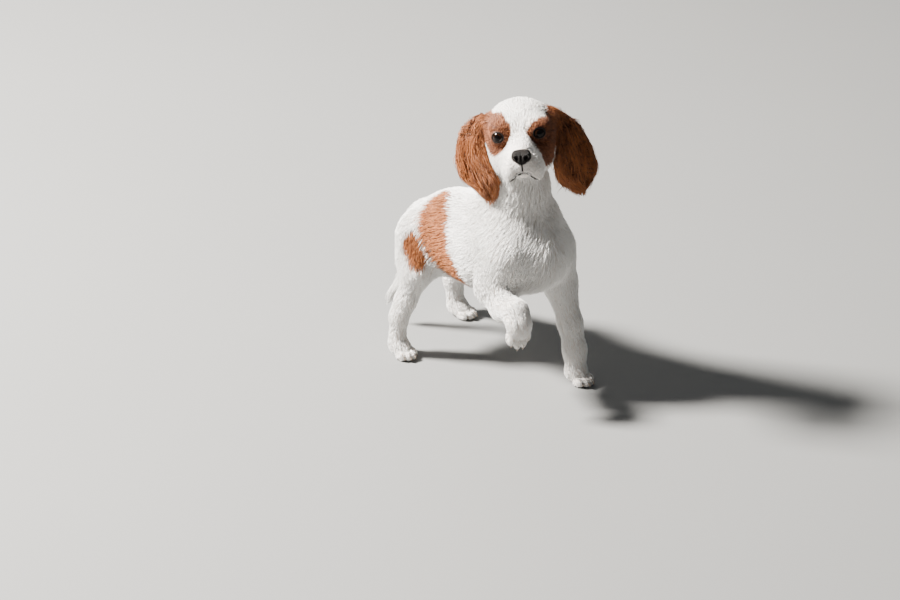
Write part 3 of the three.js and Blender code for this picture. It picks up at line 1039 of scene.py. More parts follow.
@dataclass(frozen=True)
class Parted(Dressed):
    """A form whose hair is short at the lips and round the eyes, and grows away from the eyes.

    Attributes:
        centres: The eyes' middles.
        lips: The mouth's line, in the head's frame.
        radius: How far from an eye's middle its hair differs.
        length: Of the hair at an eye.
        turned: How strongly that hair is turned away from the eye.
        shortest: Share of its length that the hair keeps at the lips.
    """

    centres: tuple[Place, ...]
    lips: Array = field(repr=False)
    radius: float = 16.0
    length: float = 2.5
    turned: float = 2.4
    shortest: float = 0.2

    def sample(self, points: Array) -> Sample:
        """Measures the form at points."""
        found = self.form.sample(points)
        local = to_head(points)
        close = muzzle_zone(local)
        if close.any():
            run = distance_to(local[close], self.lips)
            grown = smooth_step(run, 1.2, 7)
            found.values[close, LENGTH] *= self.shortest + (1 - self.shortest) * grown
        for centre in self.centres:
            away = points - np.array(centre)
            share = smooth_fall(length_of(away), 0.62 * self.radius, self.radius)
            near = share > 0
            found.values[near, LENGTH] += share[near] * (self.length - found.values[near, LENGTH])
            lie = found.values[near, LIE] + self.turned * share[near, None] * unit(away[near])
            found.values[near, LIE] = unit(lie)
        return found


FRINGES = (
    ((158, -12, 112), 24, 22, 0.3),
    ((150, 18, 112), 18, 18, 0.3),
    ((126, -42, 88), 12, 16, 0.3),
    ((6, -54, 50), 11, 12, 0.3),
    ((-19, 56, 46), 11, 12, 0.3),
    ((145, 38, 88), 12, 15, 0.3),
    ((60, 0, 88), 24, 14, 0.4),
)


class Body:
    """The whole dog as forms, and what grows and shows on it."""

    def __init__(self) -> None:
        """Joins the parts, with the smallest blends where the parts are finest."""
        self.regions: dict[str, Form] = {"trunk": Trunk().form()}
        self.regions |= {name: leg.form() for name, leg in LEGS.items()}
        self.regions["head"] = HEAD.placed(SKULL)
        self.regions["tail"] = Tail().form()
        ears = {name: Blend(6, (leaf, EAR_FOLDS[name])) for name, leaf in EARS.items()}
        self.regions |= {name: HEAD.placed(ear, 130) for name, ear in ears.items()}
        r = self.regions
        limbs = Blend(12, (r["trunk"], *(r[name] for name in LEGS)))
        whole = Blend(5, (Blend(9, (limbs, r["head"])), r["tail"], *(r[name] for name in EARS)))
        mouth = Mouth()
        self.mouth_line, self.parting_line = mouth.line(), mouth.parting()
        centres = tuple(tuple(from_head(eye.centre())) for eye in EYES.values())
        self.form = Parted(Fringed(whole, FRINGES), centres, self.mouth_line)
        flesh = Flesh(self.form, self.mouth_line, self.parting_line)
        self.lids = [eye.lids() for eye in EYES.values()]
        self.pads = [leg.paw.pad_form() for leg in LEGS.values()]
        shells = [HEAD.placed(lids, 60) for lids in self.lids]
        self.skin_form = Blend(1.1, (Blend(1.6, (flesh, *shells)), *self.pads))

    def region_of(self, points: Array) -> Array:
        """The number of the nearest region at each point, in the order of self.regions."""
        return np.argmin([form.sample(points).distance for form in self.regions.values()], axis=0)

    def tint(self, points: Array, natural: Array) -> Array:
        """How chestnut the coat is at points, from 0 to 1.

        Args:
            points: Places on the skin.
            natural: The share that the hair has by its place, as on the ears.

        Returns:
            One share for each point.
        """
        uneven = 2.6 * ripple(points, 9) + 1.3 * ripple(points, 3.1, 2.0)
        share = smooth_step(natural + 0.04 * uneven, 0.35, 0.62)
        local = to_head(points)
        for patch in PATCHES:
            spots = local if patch.on_head else points
            edge = patch.form.sample(spots).distance + uneven * patch.ragged
            share = np.maximum(share, smooth_fall(edge, -patch.edge, patch.edge))
        return share

    def pigment(self, points: Array) -> Array:
        """How dark and bare the skin is at points, from 0 to 1: the lids' rims, lips, nose and pads, with
        painted shade on the chin under the lips.
        """
        local = to_head(points)
        dark = np.zeros(len(points))
        for lids in self.lids:
            dark = np.maximum(dark, smooth_fall(lids.edge(local), 0.7, 1.7) * lids.near(local))
        near = muzzle_zone(local)
        if near.any():
            spots = local[near]
            lips = smooth_fall(distance_to(spots, self.mouth_line), 0.9, 1.7)
            parting = smooth_fall(distance_to(spots, self.parting_line), 0.5, 1.1)
            nose = smooth_fall(NOSE.form().sample(spots).distance, 0.1, 0.8)
            # partly the lips' pigment, partly painted shade on the chin under the lips
            inner = 0.9 * Mouth().lip_pigment_and_chin_shade(spots, self.mouth_line)
            dark[near] = np.maximum.reduce([dark[near], lips, parting, nose, inner])
        for pad in self.pads:
            dark = np.maximum(dark, smooth_fall(pad.sample(points).distance, 0.15, 0.8))
        return dark


@dataclass(frozen=True)
class Patch:
    """A chestnut patch inside a form, with the softness of its edge and how ragged it is."""

    form: Form
    on_head: bool = False
    edge: float = 1.6
    ragged: float = 1.0


def eggs(*shapes: Egg, soft: float = 10) -> Blend:
    """Several egg shapes in one, for a patch."""
    return Blend(soft, tuple(Mass(at, radii, BARE) for at, radii in shapes))


def band(*spots: Joint) -> Blend:
    """A long patch through spots, each with its half width."""
    return Blend(5, tuple(chain(spots, [BARE])))


PATCHES = (
    Patch(
        eggs(
            ((27, -23, 8), (21, 15, 20)),
            ((2, -36, 14), (19, 14, 17)),
            ((-8, -36, 24), (15, 12, 12)),
        ),
        on_head=True,
        edge=1.1,
        ragged=0.4,
    ),
    Patch(
        eggs(
            ((30, 24, 7), (18, 17, 12.5)),
            ((33, 33, -8), (20, 20, 20)),
            ((4, 36, 8), (20, 12, 20)),
            ((-8, 35, 22), (17, 13, 14)),
        ),
        on_head=True,
        edge=1.1,
        ragged=0.4,
    ),
    Patch(
        band(
            ((40, -13, 169), 8),
            ((42.5, -25, 161), 16.5),
            ((50, -36, 151), 19),
            ((56, -42, 139.5), 17.5),
            ((62.5, -43, 126.5), 16),
            ((69, -41, 116), 15.5),
            ((75, -37, 105), 14),
            ((84, -32, 97), 9),
        ),
        ragged=0.3,
    ),
    Patch(band(((27, -46, 127), 12.5), ((34, -46, 114.5), 12)), ragged=0.3),
    Patch(eggs(((76, 40, 150), (24, 22, 20)), ((60, 44, 128), (18, 20, 20)))),
    Patch(eggs(((8, 38, 122), (14, 18, 16)))),
)


# Nose, eyes and claws


@dataclass(frozen=True)
class Nose:
    """The nose's leather in the head's frame: a broad top, two wings and a narrow lower end.

    Attributes:
        at: Its middle.
        top: Both ends of its upper edge.
        lower: Middle and radii of its lower end.
        wing: Middle and radii of the left wing.
        nostril: Middle of the left nostril, its radius and its depth.
        slit: The same of the nostril's outer slit.
        furrow: Depth of the furrow down the middle.
        furrow_top: The height where the furrow ends.
    """

    at: Place = (57, 0, -9)
    top: tuple[Joint, ...] = (((56.6, -4.6, -6.5), 3.7), ((56.6, 4.6, -6.5), 3.7))
    lower: Egg = ((56.8, 0, -12.4), (5.0, 4.6, 4.2))
    wing: Egg = ((58.0, 4.9, -9.8), (4.0, 3.6, 3.5))
    nostril: tuple[Place, float, float] = ((61.6, 4.5, -9.9), 1.9, 3.0)
    slit: tuple[Place, float, float] = ((59.8, 7.3, -11.2), 1.5, 1.6)
    furrow: float = 0.8
    furrow_top: float = -7.5

    def form(self) -> Blend:
        """The leather's outer form."""
        (a, ra), (b, rb) = self.top
        at, radii = self.wing
        wings = [Mass(mirrored(at, side), radii, BARE) for side in SIDES.values()]
        return Blend(4, (Limb(a, ra, b, rb, BARE), Mass(*self.lower, BARE), *wings))

    def dip(self, points: Array) -> Array:
        """How deep the nostrils and the middle furrow are pressed in at points."""
        low = smooth_fall(points[:, 2], self.furrow_top - 1.5, self.furrow_top + 1.5)
        dip = self.furrow * hump(points[:, 1], 0.8) * (points[:, 0] > self.at[0]) * low
        for at, size, deep in (self.nostril, self.slit):
            for side in SIDES.values():
                away = points - np.array(mirrored(at, side))
                run = np.hypot(np.hypot(away[:, 0] * 0.6, away[:, 1] * 1.1), away[:, 2] * 0.85)
                dip = np.maximum(dip, deep * np.exp(-((run / size) ** 3)))
        return dip

    def bed(self, points: Array) -> Array:
        """How far the flesh stands back round and under the leather at points."""
        under = 3.2 * smooth_fall(self.form().sample(points).distance, -1.2, 0.5)
        tip = smooth_step(points[:, 0], 49, 57) * smooth_step(points[:, 2], -9, -3)
        return np.maximum(under, 2.0 * tip)


NOSE = Nose()


# Making pieces


def mesh_from(bm: BMesh, name: str) -> Mesh:
    """Turns a bmesh in the maker's frame to a smooth mesh, and frees it."""
    mesh = bpy.data.meshes.new(name)
    bm.to_mesh(mesh)
    bm.free()
    mesh.shade_smooth()
    return mesh


def points_of(mesh: Mesh) -> Array:
    """The mesh's vertices, one in each row."""
    flat = np.empty(len(mesh.vertices) * 3, np.float32)
    mesh.vertices.foreach_get("co", flat)
    return flat.reshape(-1, 3).astype(float)


def set_points(mesh: Mesh, points: Array) -> None:
    """Moves the mesh's vertices to points."""
    mesh.vertices.foreach_set("co", points.astype(np.float32).ravel())
    mesh.update()


def set_attribute(mesh: Mesh, name: str, values: Array) -> None:
    """Keeps one number or one vector for each vertex of the mesh."""
    kind, key = ("FLOAT", "value") if values.ndim == 1 else ("FLOAT_VECTOR", "vector")
    mesh.attributes.new(name, kind, "POINT").data.foreach_set(key, values.astype(np.float32).ravel())


def place_in_scene(name: str, data: Any) -> Object:
    """Makes an object of a mesh, a lamp or a camera, and puts it in the scene."""
    made = bpy.data.objects.new(name, data)
    bpy.context.scene.collection.objects.link(made)
    return made


def piece(
    name: str, mesh: Mesh, material: Material, nodes: Iterable[str] = ()
) -> Object:
    """Makes a mesh of the maker's frame a finished piece of the dog.

    Args:
        name: The piece's name.
        mesh: Its mesh, in millimetres in the maker's frame.
        material: Its finish.
        nodes: The solids that it stands for.

    Returns:
        The piece.
    """
    set_points(mesh, (points_of(mesh) - FOOTPRINT) * MM)
    mesh.materials.clear()
    mesh.materials.append(material)
    made = place_in_scene(name, mesh)
    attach(made, BODY)
    if nodes:
        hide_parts(*nodes)
    log.info("%s: %d vertices, %d faces", name, len(mesh.vertices), len(mesh.polygons))
    return made


class Skin:
    """The one skin under the whole coat, with lids, nostrils' surround, lips and pads."""

    voxel = 1.82  # size of its faces before the fine parts are divided
    depth_rounds = 7  # how often the melted solids are drawn in to the skin
    longest_step = 4.0
    island_margin = 0.003  # room between the parts of the bake map

    def __init__(self, body: Body) -> None:
        """Melts the body's solids into one mesh, fits it to the skin's form and unwraps it."""
        self.body = body
        self.mesh = self.remeshed()
        self.relax(3)
        self.refine(self.in_fine_zone)
        self.settle(3)
        self.refine(self.in_finest_zone)
        self.settle(5)
        self.lay_flat()
        self.unwrap()

    def remeshed(self) -> Mesh:
        """The forms' plain solids melted into one closed mesh."""
        bm = bmesh.new()
        self.body.form.block_out(bm, Matrix.Identity(4))
        plain = place_in_scene("plain", mesh_from(bm, "plain"))
        melt = plain.modifiers.new("melt", "REMESH")
        melt.mode = "VOXEL"
        melt.voxel_size = self.voxel
        shown = plain.evaluated_get(bpy.context.evaluated_depsgraph_get())
        mesh = bpy.data.meshes.new_from_object(shown)
        bpy.data.objects.remove(plain)
        return mesh

    def settle(self, rounds: int) -> None:
        """Draws every vertex onto the skin's surface."""
        points = points_of(self.mesh)
        for _ in range(rounds):
            found = self.body.skin_form.sample(points)
            step = np.clip(found.distance, -self.longest_step, self.longest_step)[:, None]
            points -= 0.9 * step * unit(found.values[:, NORMAL])
        set_points(self.mesh, points)

    def relax(self, times: int) -> None:
        """Evens out the faces, settling the surface after each pass."""
        self.settle(self.depth_rounds)
        for _ in range(times):
            bm = bmesh.new()
            bm.from_mesh(self.mesh)
            axes = {f"use_axis_{axis}": True for axis in "xyz"}
            bmesh.ops.smooth_vert(bm, verts=bm.verts, factor=0.5, **axes)
            bm.to_mesh(self.mesh)
            bm.free()
            self.settle(2)

    def refine(self, zone: Callable[[Array], Array]) -> None:
        """Halves the faces inside a zone."""
        chosen = zone(points_of(self.mesh))
        bm = bmesh.new()
        bm.from_mesh(self.mesh)
        edges = [e for e in bm.edges if chosen[e.verts[0].index] and chosen[e.verts[1].index]]
        bmesh.ops.subdivide_edges(bm, edges=edges, cuts=1, use_grid_fill=True)
        bm.to_mesh(self.mesh)
        bm.free()

    def in_fine_zone(self, points: Array) -> Array:
        """Which points lie on the face or a paw."""
        local = to_head(points)
        near = (away_from(local, (38, 0, -10)) < 40) & (local[:, 0] > 12)
        for leg in LEGS.values():
            near |= away_from(points, leg.paw.at) < 22
        return near

    def in_finest_zone(self, points: Array) -> Array:
        """Which points lie round an eye, the mouth or the nose."""
        local = to_head(points)
        near = away_from(local, NOSE.at) < 14
        for eye in EYES.values():
            near |= length_of(local - eye.centre() - eye.gaze() * 6) < 10
        close = muzzle_zone(local)
        near[close] |= distance_to(local[close], self.body.mouth_line) < 4
        near[close] |= distance_to(local[close], self.body.parting_line) < 3
        return near

    def lay_flat(self) -> None:
        """Keeps the soles on the floor."""
        points = points_of(self.mesh)
        points[:, 2] = np.maximum(points[:, 2], 0)
        set_points(self.mesh, points)
        self.mesh.shade_smooth()

    def unwrap(self) -> None:
        """Lays the skin's own shape out in the bake map."""
        self.mesh.uv_layers.new(name=BAKE_MAP)
        held = place_in_scene("held", self.mesh)
        bpy.context.view_layer.objects.active = held
        held.select_set(True)
        bpy.ops.object.mode_set(mode="EDIT")
        bpy.ops.mesh.select_all(action="SELECT")
        bpy.ops.uv.smart_project(angle_limit=math.radians(70), island_margin=self.island_margin)
        bpy.ops.object.mode_set(mode="OBJECT")
        bpy.data.objects.remove(held)

    def finished(self, material: Material) -> Object:
        """The skin as a piece, with its markings and its painted shade kept at its vertices."""
        points = points_of(self.mesh)
        natural = self.body.form.sample(points).values[:, TINT]
        tint = self.body.tint(points, natural)
        flat = np.zeros(len(points))
        set_attribute(self.mesh, COAT_ATTRIBUTE, np.column_stack([flat, flat + 0.5, tint]))
        set_attribute(self.mesh, PIGMENT_AND_SHADE_ATTRIBUTE, self.body.pigment(points))
        return piece("skin", self.mesh, material, (*FLESH, *LEGS))


@dataclass
class Roots:
    """Where tufts grow: places, their spots on the skin's map, and what the body says there."""

    points: Array
    spots: Array
    values: Array
    tints: Array
    regions: Array

    def chosen(self, mask: Array) -> "Roots":
        """Only the roots of a mask or a list of numbers."""
        return Roots(*(kept[mask] for kept in vars(self).values()))


class Coat:
    """The coat: tufts of hair on the skin, combed along the body."""

    seed = 7
    sink = 0.5  # how far a root is set into the skin
    patch = 0.003  # size of a tuft's patch on the bake map
    most_triangles = 190_000  # in one piece
    step_lengths = ((2, 5.4), (3, 12.0), (4, 17.0), (6, 1000.0))  # steps for hair up to a length
    sides = 3  # of a tuft across
    flatness = 0.5  # a tuft's height by its width
    bare_pigment = 0.7  # no hair where the skin is darker
    lid_margin = 0.9  # width of the bare rim at the lids
    lowest_root = 0.6  # over the floor
    lowest_hair = 0.5
    length_spread = 0.22  # share by which lengths differ
    width_spread = 0.2
    lift_spread = 0.2
    stray = 0.12  # how far single hairs leave the lie
    stream = 0.16  # how far neighbouring hairs leave it together
    wave_run = 4.2  # hair's length to a radian of its wave
    lock_jitter = 0.3
    dark_head = 0.4  # how much darker chestnut tufts are on the head
    sandy_body = 0.4  # how much lighter tufts are on the body
    sandy_heights = (165, 185)  # where that fades out
    shade_spread = 0.2

    def __init__(self, body: Body, skin: Skin) -> None:
        """Spreads the roots over the finished skin."""
        self.body = body
        self.draw = np.random.default_rng(self.seed)
        self.roots = self.scatter(skin.mesh)

    def scatter(self, mesh: Mesh) -> Roots:
        """Spreads roots over the skin by the density of the hair.

        Args:
            mesh: The skin, in the maker's frame, with its bake map.

        Returns:
            The roots.
        """
        mesh.calc_loop_triangles()
        count = len(mesh.loop_triangles)
        corners, loops = np.empty(count * 3, np.int32), np.empty(count * 3, np.int32)
        mesh.loop_triangles.foreach_get("vertices", corners)
        mesh.loop_triangles.foreach_get("loops", loops)
        flat = np.empty(len(mesh.loops) * 2, np.float32)
        mesh.uv_layers[BAKE_MAP].data.foreach_get("uv", flat)
        triangles = points_of(mesh)[corners.reshape(-1, 3)]
        spots = flat.reshape(-1, 2)[loops.reshape(-1, 3)]
        sides = triangles[:, 1:] - triangles[:, :1]
        area = length_of(np.cross(sides[:, 0], sides[:, 1])) / 2
        density = self.body.form.sample(triangles.mean(axis=1)).values[:, DENSITY]
        tufts = np.floor(area * density + self.draw.random(count)).astype(int)
        owners = np.repeat(np.arange(count), tufts)
        a, b = self.draw.random((2, len(owners)))
        a, b = np.where(a + b > 1, 1 - a, a), np.where(a + b > 1, 1 - b, b)
        weights = np.column_stack([1 - a - b, a, b])[:, :, None]
        points = (triangles[owners] * weights).sum(axis=1)
        kept = (self.body.pigment(points) < self.bare_pigment) & (points[:, 2] > self.lowest_root)
        kept &= ~self.under_an_eye(points)
        points, owners, weights = points[kept], owners[kept], weights[kept]
        values = self.body.form.sample(points).values
        tints = self.body.tint(points, values[:, TINT])
        places = (spots[owners] * weights).sum(axis=1)
        return Roots(points, places, values, tints, self.body.region_of(points))

    def under_an_eye(self, points: Array) -> Array:
        """Which points lie inside the opening of the lids."""
        local = to_head(points)
        hidden = np.zeros(len(points), bool)
        for lids in self.body.lids:
            hidden |= lids.near(local) & (lids.edge(local) < self.lid_margin)
        return hidden

    def spread(self, count: int, share: float) -> Array:
        """Factors near 1 that differ by about a share, and by twice that at most."""
        return 1 + share * self.draw.standard_normal(count).clip(-2, 2)

    def combed(self, roots: Roots, steps: int) -> tuple[Array, Array]:
        """Lets the hair of some roots run along the body.

        Args:
            roots: The roots.
            steps: How many straight lengths each hair has.

        Returns:
            The hairs' lines and the ways out from the body along them, each as hair by station by 3.
        """
        count = len(roots.points)
        length = roots.values[:, LENGTH] * self.spread(count, self.length_spread)
        swerve = self.stray * self.draw.standard_normal(count)
        swerve += self.stream * ripple(roots.points, 13, 1.0)
        lift = 1 + self.lift_spread * self.draw.standard_normal(count)
        phase = 2 * math.pi * (0.5 + 0.5 * ripple(roots.points, 14, 4.0))
        phase += 0.5 * self.draw.standard_normal(count)
        depth, hold, swing = (roots.values[:, column] for column in (DEPTH, HOLD, WAVE))
        at = roots.points.copy()
        found = self.body.form.sample(at)
        start = found.distance + depth
        lifted, sunk = np.maximum(start, 0), np.minimum(start, 0)
        outs = [unit(found.values[:, NORMAL])]
        line = [at - self.sink * outs[0]]
        for k in range(steps):
            share = (k + 1) / steps
            out = outs[-1]
            ahead = found.values[:, LIE]
            ahead = unit(ahead - across_out(ahead, out) * hold[:, None])
            side = np.cross(out, ahead)
            bend = swerve + swing / 6 * np.cos(phase + share * length / self.wave_run)
            at = at + unit(ahead + side * bend[:, None]) * (length / steps)[:, None]
            found = self.body.form.sample(at)
            out = unit(found.values[:, NORMAL])
            target = depth * ((1 - (1 - share) ** 2) * lift - 1) + lifted * (1 - share)
            gap = target + sunk * (1 - 0.3 * share) - found.distance
            at = at + out * np.where(gap > 0, gap, gap * hold)[:, None]
            at[:, 2] = np.maximum(at[:, 2], self.lowest_hair)
            line.append(at)
            outs.append(out)
        return self.clumped(roots, np.stack(line, axis=1)), np.stack(outs, axis=1)

    def clumped(self, roots: Roots, lines: Array) -> Array:
        """Draws the tips of neighbouring hairs together into locks."""
        size = 1.6 + 0.16 * roots.values[:, LENGTH]
        cell = np.floor(roots.points / size[:, None] + 0.35 * ripple(roots.points, 5, 6.0)[:, None])
        muddle = np.array(((12.9, 78.2, 37.7), (39.3, 11.1, 83.2), (73.1, 52.2, 9.2)))
        jitter = np.sin(cell @ muddle) * self.lock_jitter
        middle = (cell + 0.5 + jitter) * size[:, None]
        pull = middle - roots.points
        pull -= across_out(pull, unit(roots.values[:, NORMAL]))
        share = np.linspace(0, 1, lines.shape[1]) ** 1.4
        strength = 0.2 + 0.35 * smooth_step(roots.values[:, LENGTH], 8, 26)
        return lines + pull[:, None] * strength[:, None, None] * share[None, :, None]

    def tufts(self, roots: Roots, steps: int) -> "Tufts":
        """Solid tufts along the combed hair of some roots, widest at a quarter of their length."""
        lines, outs = self.combed(roots, steps)
        count = len(lines)
        ahead = unit(np.gradient(lines, axis=1))
        side = unit(np.cross(outs, ahead))
        over = np.cross(ahead, side)
        share = np.linspace(0, 1, steps + 1)[:-1]
        profile = (0.62 + 0.9 * share) * (1 - share) ** 0.75
        width = roots.values[:, WIDTH] * self.spread(count, self.width_spread)
        half = width[:, None] * profile[None] / 2
        rings = []
        for turn in np.arange(self.sides) * 2 * math.pi / self.sides:
            wide = side[:, :-1] * (half * math.sin(turn))[..., None]
            high = over[:, :-1] * (half * self.flatness * math.cos(turn))[..., None]
            rings.append(lines[:, :-1] + wide + high)
        body = np.stack(rings, axis=2).reshape(count, steps * self.sides, 3)
        vertices = np.concatenate([body, lines[:, -1:]], axis=1)
        head = (roots.regions == list(self.body.regions).index("head")) & (roots.tints > 0.5)
        sandy = smooth_fall(roots.points[:, 2], *self.sandy_heights)
        shade = 0.52 + self.shade_spread * self.draw.standard_normal(count)
        shade += 0.12 * ripple(roots.points, 6, 3.0)
        shade = np.clip(shade - self.dark_head * head + self.sandy_body * sandy, 0, 1.2)
        border = 4 * roots.tints * (1 - roots.tints)
        tint = smooth_step(roots.tints + 0.4 * border * self.draw.standard_normal(count), 0.3, 0.7)
        return Tufts(vertices, roots, shade, tint, steps, self.sides)

    def grow(self, material: Material) -> None:
        """Makes the coat's pieces, region by region, each below the limit of triangles."""
        for number, name in enumerate(self.body.regions):
            roots = self.roots.chosen(self.roots.regions == number)
            length = roots.values[:, LENGTH]
            bundles, low = [], 0.0
            for steps, high in self.step_lengths:
                some = roots.chosen((length >= low) & (length < high))
                low = high
                if len(some.points):
                    bundles.append(self.tufts(some, steps))
            triangles = sum(bundle.triangles() for bundle in bundles)
            shares = max(1, math.ceil(triangles / self.most_triangles))
            for share in range(shares):
                mesh = tuft_mesh([bundle.slice_of(share, shares) for bundle in bundles])
                suffix = f"_{share + 1}" if shares > 1 else ""
                named = Slot.CHESTNUT if name in EARS else Slot.WHITE
                piece(f"coat_{name}{suffix}", mesh, material)


@dataclass
class Tufts:
    """Tufts of one build: each has rings of vertices and a tip."""

    vertices: Array
    roots: Roots
    shade: Array
    tint: Array
    steps: int
    sides: int

    def pattern(self) -> tuple[Array, Array, Array]:
        """One tuft's quads, its triangles, and its vertices' places on its patch."""
        n, last = self.sides, self.steps * self.sides
        quads = [
            (k * n + j, k * n + (j + 1) % n, (k + 1) * n + (j + 1) % n, (k + 1) * n + j)
            for k in range(self.steps - 1)
            for j in range(n)
        ]
        tips = [((self.steps - 1) * n + j, (self.steps - 1) * n + (j + 1) % n, last) for j in range(n)]
        foot = [tuple(range(n))[::-1]]
        columns = [(j + 0.5) / n - 0.5 for j in range(n)]
        spots = [(across, k / self.steps - 0.5) for k in range(self.steps) for across in columns]
        return np.array(quads).reshape(-1, 4), np.array(tips + foot), np.array([*spots, (0, 0.5)])

    def triangles(self) -> int:
        """How many triangles the tufts have."""
        quads, tips, _ = self.pattern()
        return len(self.vertices) * (2 * len(quads) + len(tips))

    def slice_of(self, share: int, shares: int) -> "Tufts":
        """The tufts of one of several equal stretches from tail to chest."""
        order = np.argsort(self.roots.points[:, 0], kind="stable")
        mine = np.array_split(order, shares)[share]
        chosen = (self.vertices[mine], self.roots.chosen(mine), self.shade[mine], self.tint[mine])
        return Tufts(*chosen, self.steps, self.sides)


def tuft_mesh(bundles: Sequence[Tufts]) -> Mesh:
    """Joins tufts into one mesh, with its bake map and its attributes.

    Args:
        bundles: Tufts of one or more builds.

    Returns:
        The mesh, in the maker's frame.
    """
    points, coats, corners, sizes, spots, start = [], [], [], [], [], 0
    for bundle in bundles:
        count, each = bundle.vertices.shape[:2]
        quads, tips, layout = bundle.pattern()
        points.append(bundle.vertices.reshape(-1, 3))
        along = np.append(np.repeat(np.arange(bundle.steps) / bundle.steps, bundle.sides), 1.0)
        kept = [np.tile(along, count), np.repeat(bundle.shade, each), np.repeat(bundle.tint, each)]
        coats.append(np.column_stack(kept))
        offsets = start + np.arange(count)[:, None, None] * each
        places = bundle.roots.spots[:, None] + layout[None] * Coat.patch
        for pattern in (quads, tips):
            corners.append((pattern[None] + offsets).reshape(-1))
            sizes.append(np.full(count * len(pattern), pattern.shape[1]))
            spots.append(places[:, pattern.reshape(-1)].reshape(-1, 2))
        start += count * each
    mesh = bpy.data.meshes.new("tufts")
    corners, sizes = np.concatenate(corners), np.concatenate(sizes)
    mesh.vertices.add(start)
    mesh.loops.add(len(corners))
    mesh.polygons.add(len(sizes))
    mesh.loops.foreach_set("vertex_index", corners.astype(np.int32))
    starts = np.concatenate([[0], np.cumsum(sizes)[:-1]])
    mesh.polygons.foreach_set("loop_start", starts.astype(np.int32))
    set_points(mesh, np.concatenate(points))
    mesh.update(calc_edges=True)
    flat = np.concatenate(spots).astype(np.float32).ravel()
    mesh.uv_layers.new(name=BAKE_MAP).data.foreach_set("uv", flat)
    set_attribute(mesh, COAT_ATTRIBUTE, np.concatenate(coats))
    mesh.shade_smooth()
    return mesh


class Features:
    """The pieces that stay apart from the skin: nose, eyes and claws."""

    claw_length = 7.4
    claw_radius = 1.45
    claw_tip = 0.15
    claw_drop = 30.0  # degrees that it points down
    claw_bend = 1.1
    claw_depth = 0.6  # how far it is set into the toe
    claw_rise = 0.9  # over the toe's middle
    nostril_painted_shade_depth = 2.4  # depth at which a nostril's painted shade is darkest
    cornea = 0.9  # how far the clear front of the eye bulges
    cornea_edge = 42.0  # degrees off the gaze where the bulge ends

    def nose(self, material: Material) -> None:
        """The leather of the nose, with its nostrils, given painted shade by their depth."""
        bm = bmesh.new()
        bmesh.ops.create_icosphere(bm, subdivisions=6, radius=7, matrix=Matrix.Translation(NOSE.at))
        mesh = mesh_from(bm, "nose_leather")
        points = points_of(mesh)
        form = NOSE.form()
        for _ in range(8):
            found = form.sample(points)
            points -= found.distance[:, None] * unit(found.values[:, NORMAL])
        dip = NOSE.dip(points)
        points -= dip[:, None] * unit(form.sample(points).values[:, NORMAL])
        set_points(mesh, from_head(points))
        # painted shade: the deeper a nostril, the darker it is painted
        set_attribute(mesh, PIGMENT_AND_SHADE_ATTRIBUTE, np.clip(dip / self.nostril_painted_shade_depth, 0, 1))
        piece("nose_leather", mesh, material, ("nose",))

    def eye(self, name: str, material: Material) -> None:
        """One eye, with a clear bulge over the iris."""
        eye = EYES[name]
        bm = bmesh.new()
        bmesh.ops.create_uvsphere(bm, u_segments=64, v_segments=48, radius=eye.radius)
        mesh = mesh_from(bm, f"eyeball_{name}")
        points = points_of(mesh)
        angle = np.degrees(np.arccos(np.clip(points[:, 2] / eye.radius, -1, 1)))
        rise = np.clip(1 - (angle / self.cornea_edge) ** 2, 0, 1) ** 2
        points += unit(points) * (rise * self.cornea)[:, None]
        turn = np.array(Vector(eye.gaze()).to_track_quat("Z", "Y").to_matrix())
        set_points(mesh, from_head(points @ turn.T + eye.centre()))
        set_attribute(mesh, "off_gaze", angle)
        piece(f"eyeball_{name}", mesh, material, (f"eye_{name}",))

    def claws(self, name: str, leg: Leg, material: Material) -> None:
        """The four claws of one paw."""
        bm = bmesh.new()
        turn = Matrix(turn_matrix(0, leg.paw.droop, leg.paw.turn).tolist()).to_4x4()
        shape = {"radius1": self.claw_radius, "radius2": self.claw_tip, "depth": self.claw_length}
        for x, y, z, long in leg.paw.toes:
            root = Vector((x + long - self.claw_depth, y, z + self.claw_rise))
            lie = Matrix.Rotation(math.radians(90 + self.claw_drop), 4, "Y")
            bmesh.ops.create_cone(bm, cap_ends=True, segments=12, **shape)
            fresh = [e for e in bm.edges if not e.verts[0].tag]
            sides = [e for e in fresh if abs(e.verts[0].co.z - e.verts[1].co.z) > 1]
            bmesh.ops.subdivide_edges(bm, edges=sides, cuts=4)
            for v in (v for v in bm.verts if not v.tag):
                v.tag = True
                run = v.co.z / self.claw_length + 0.5
                v.co.x += self.claw_bend * run * run
                v.co.y *= 0.8
                v.co = Matrix.Translation(leg.paw.at) @ turn @ Matrix.Translation(root) @ lie @ v.co
        for v in bm.verts:
            v.co.z = max(v.co.z, 0.2)
        piece(f"claws_{name}", mesh_from(bm, f"claws_{name}"), material)


# Finishes


class Value:
    """A number in a node tree that takes part in Python expressions."""

    def __init__(self, shader: "Shader", socket: Any) -> None:
        """Keeps an output socket with the shader that it belongs to."""
        self.shader = shader
        self.socket = socket

    def math(self, operation: str, *others: Any) -> "Value":
        """A Math node on this value and others."""
        return self.shader.node("Math", {"operation": operation}, dict(enumerate((self, *others))))

    def __add__(self, other: Any) -> "Value":
        """This value plus another."""
        return self.math("ADD", other)

    def __sub__(self, other: Any) -> "Value":
        """This value less another."""
        return self.math("SUBTRACT", other)

    def __mul__(self, other: Any) -> "Value":
        """This value times another."""
        return self.math("MULTIPLY", other)

    def __rsub__(self, other: float) -> "Value":
        """A number less this value."""
        return self.shader.node("Math", {"operation": "SUBTRACT"}, {0: other, 1: self})

    __radd__ = __add__
    __rmul__ = __mul__

    def ramp(self, low: float, high: float) -> "Value":
        """0 below low, 1 above high, and a smooth rise between."""
        inputs = {"Value": self, "From Min": low, "From Max": high}
        return self.shader.node("MapRange", {"interpolation_type": "SMOOTHSTEP"}, inputs)


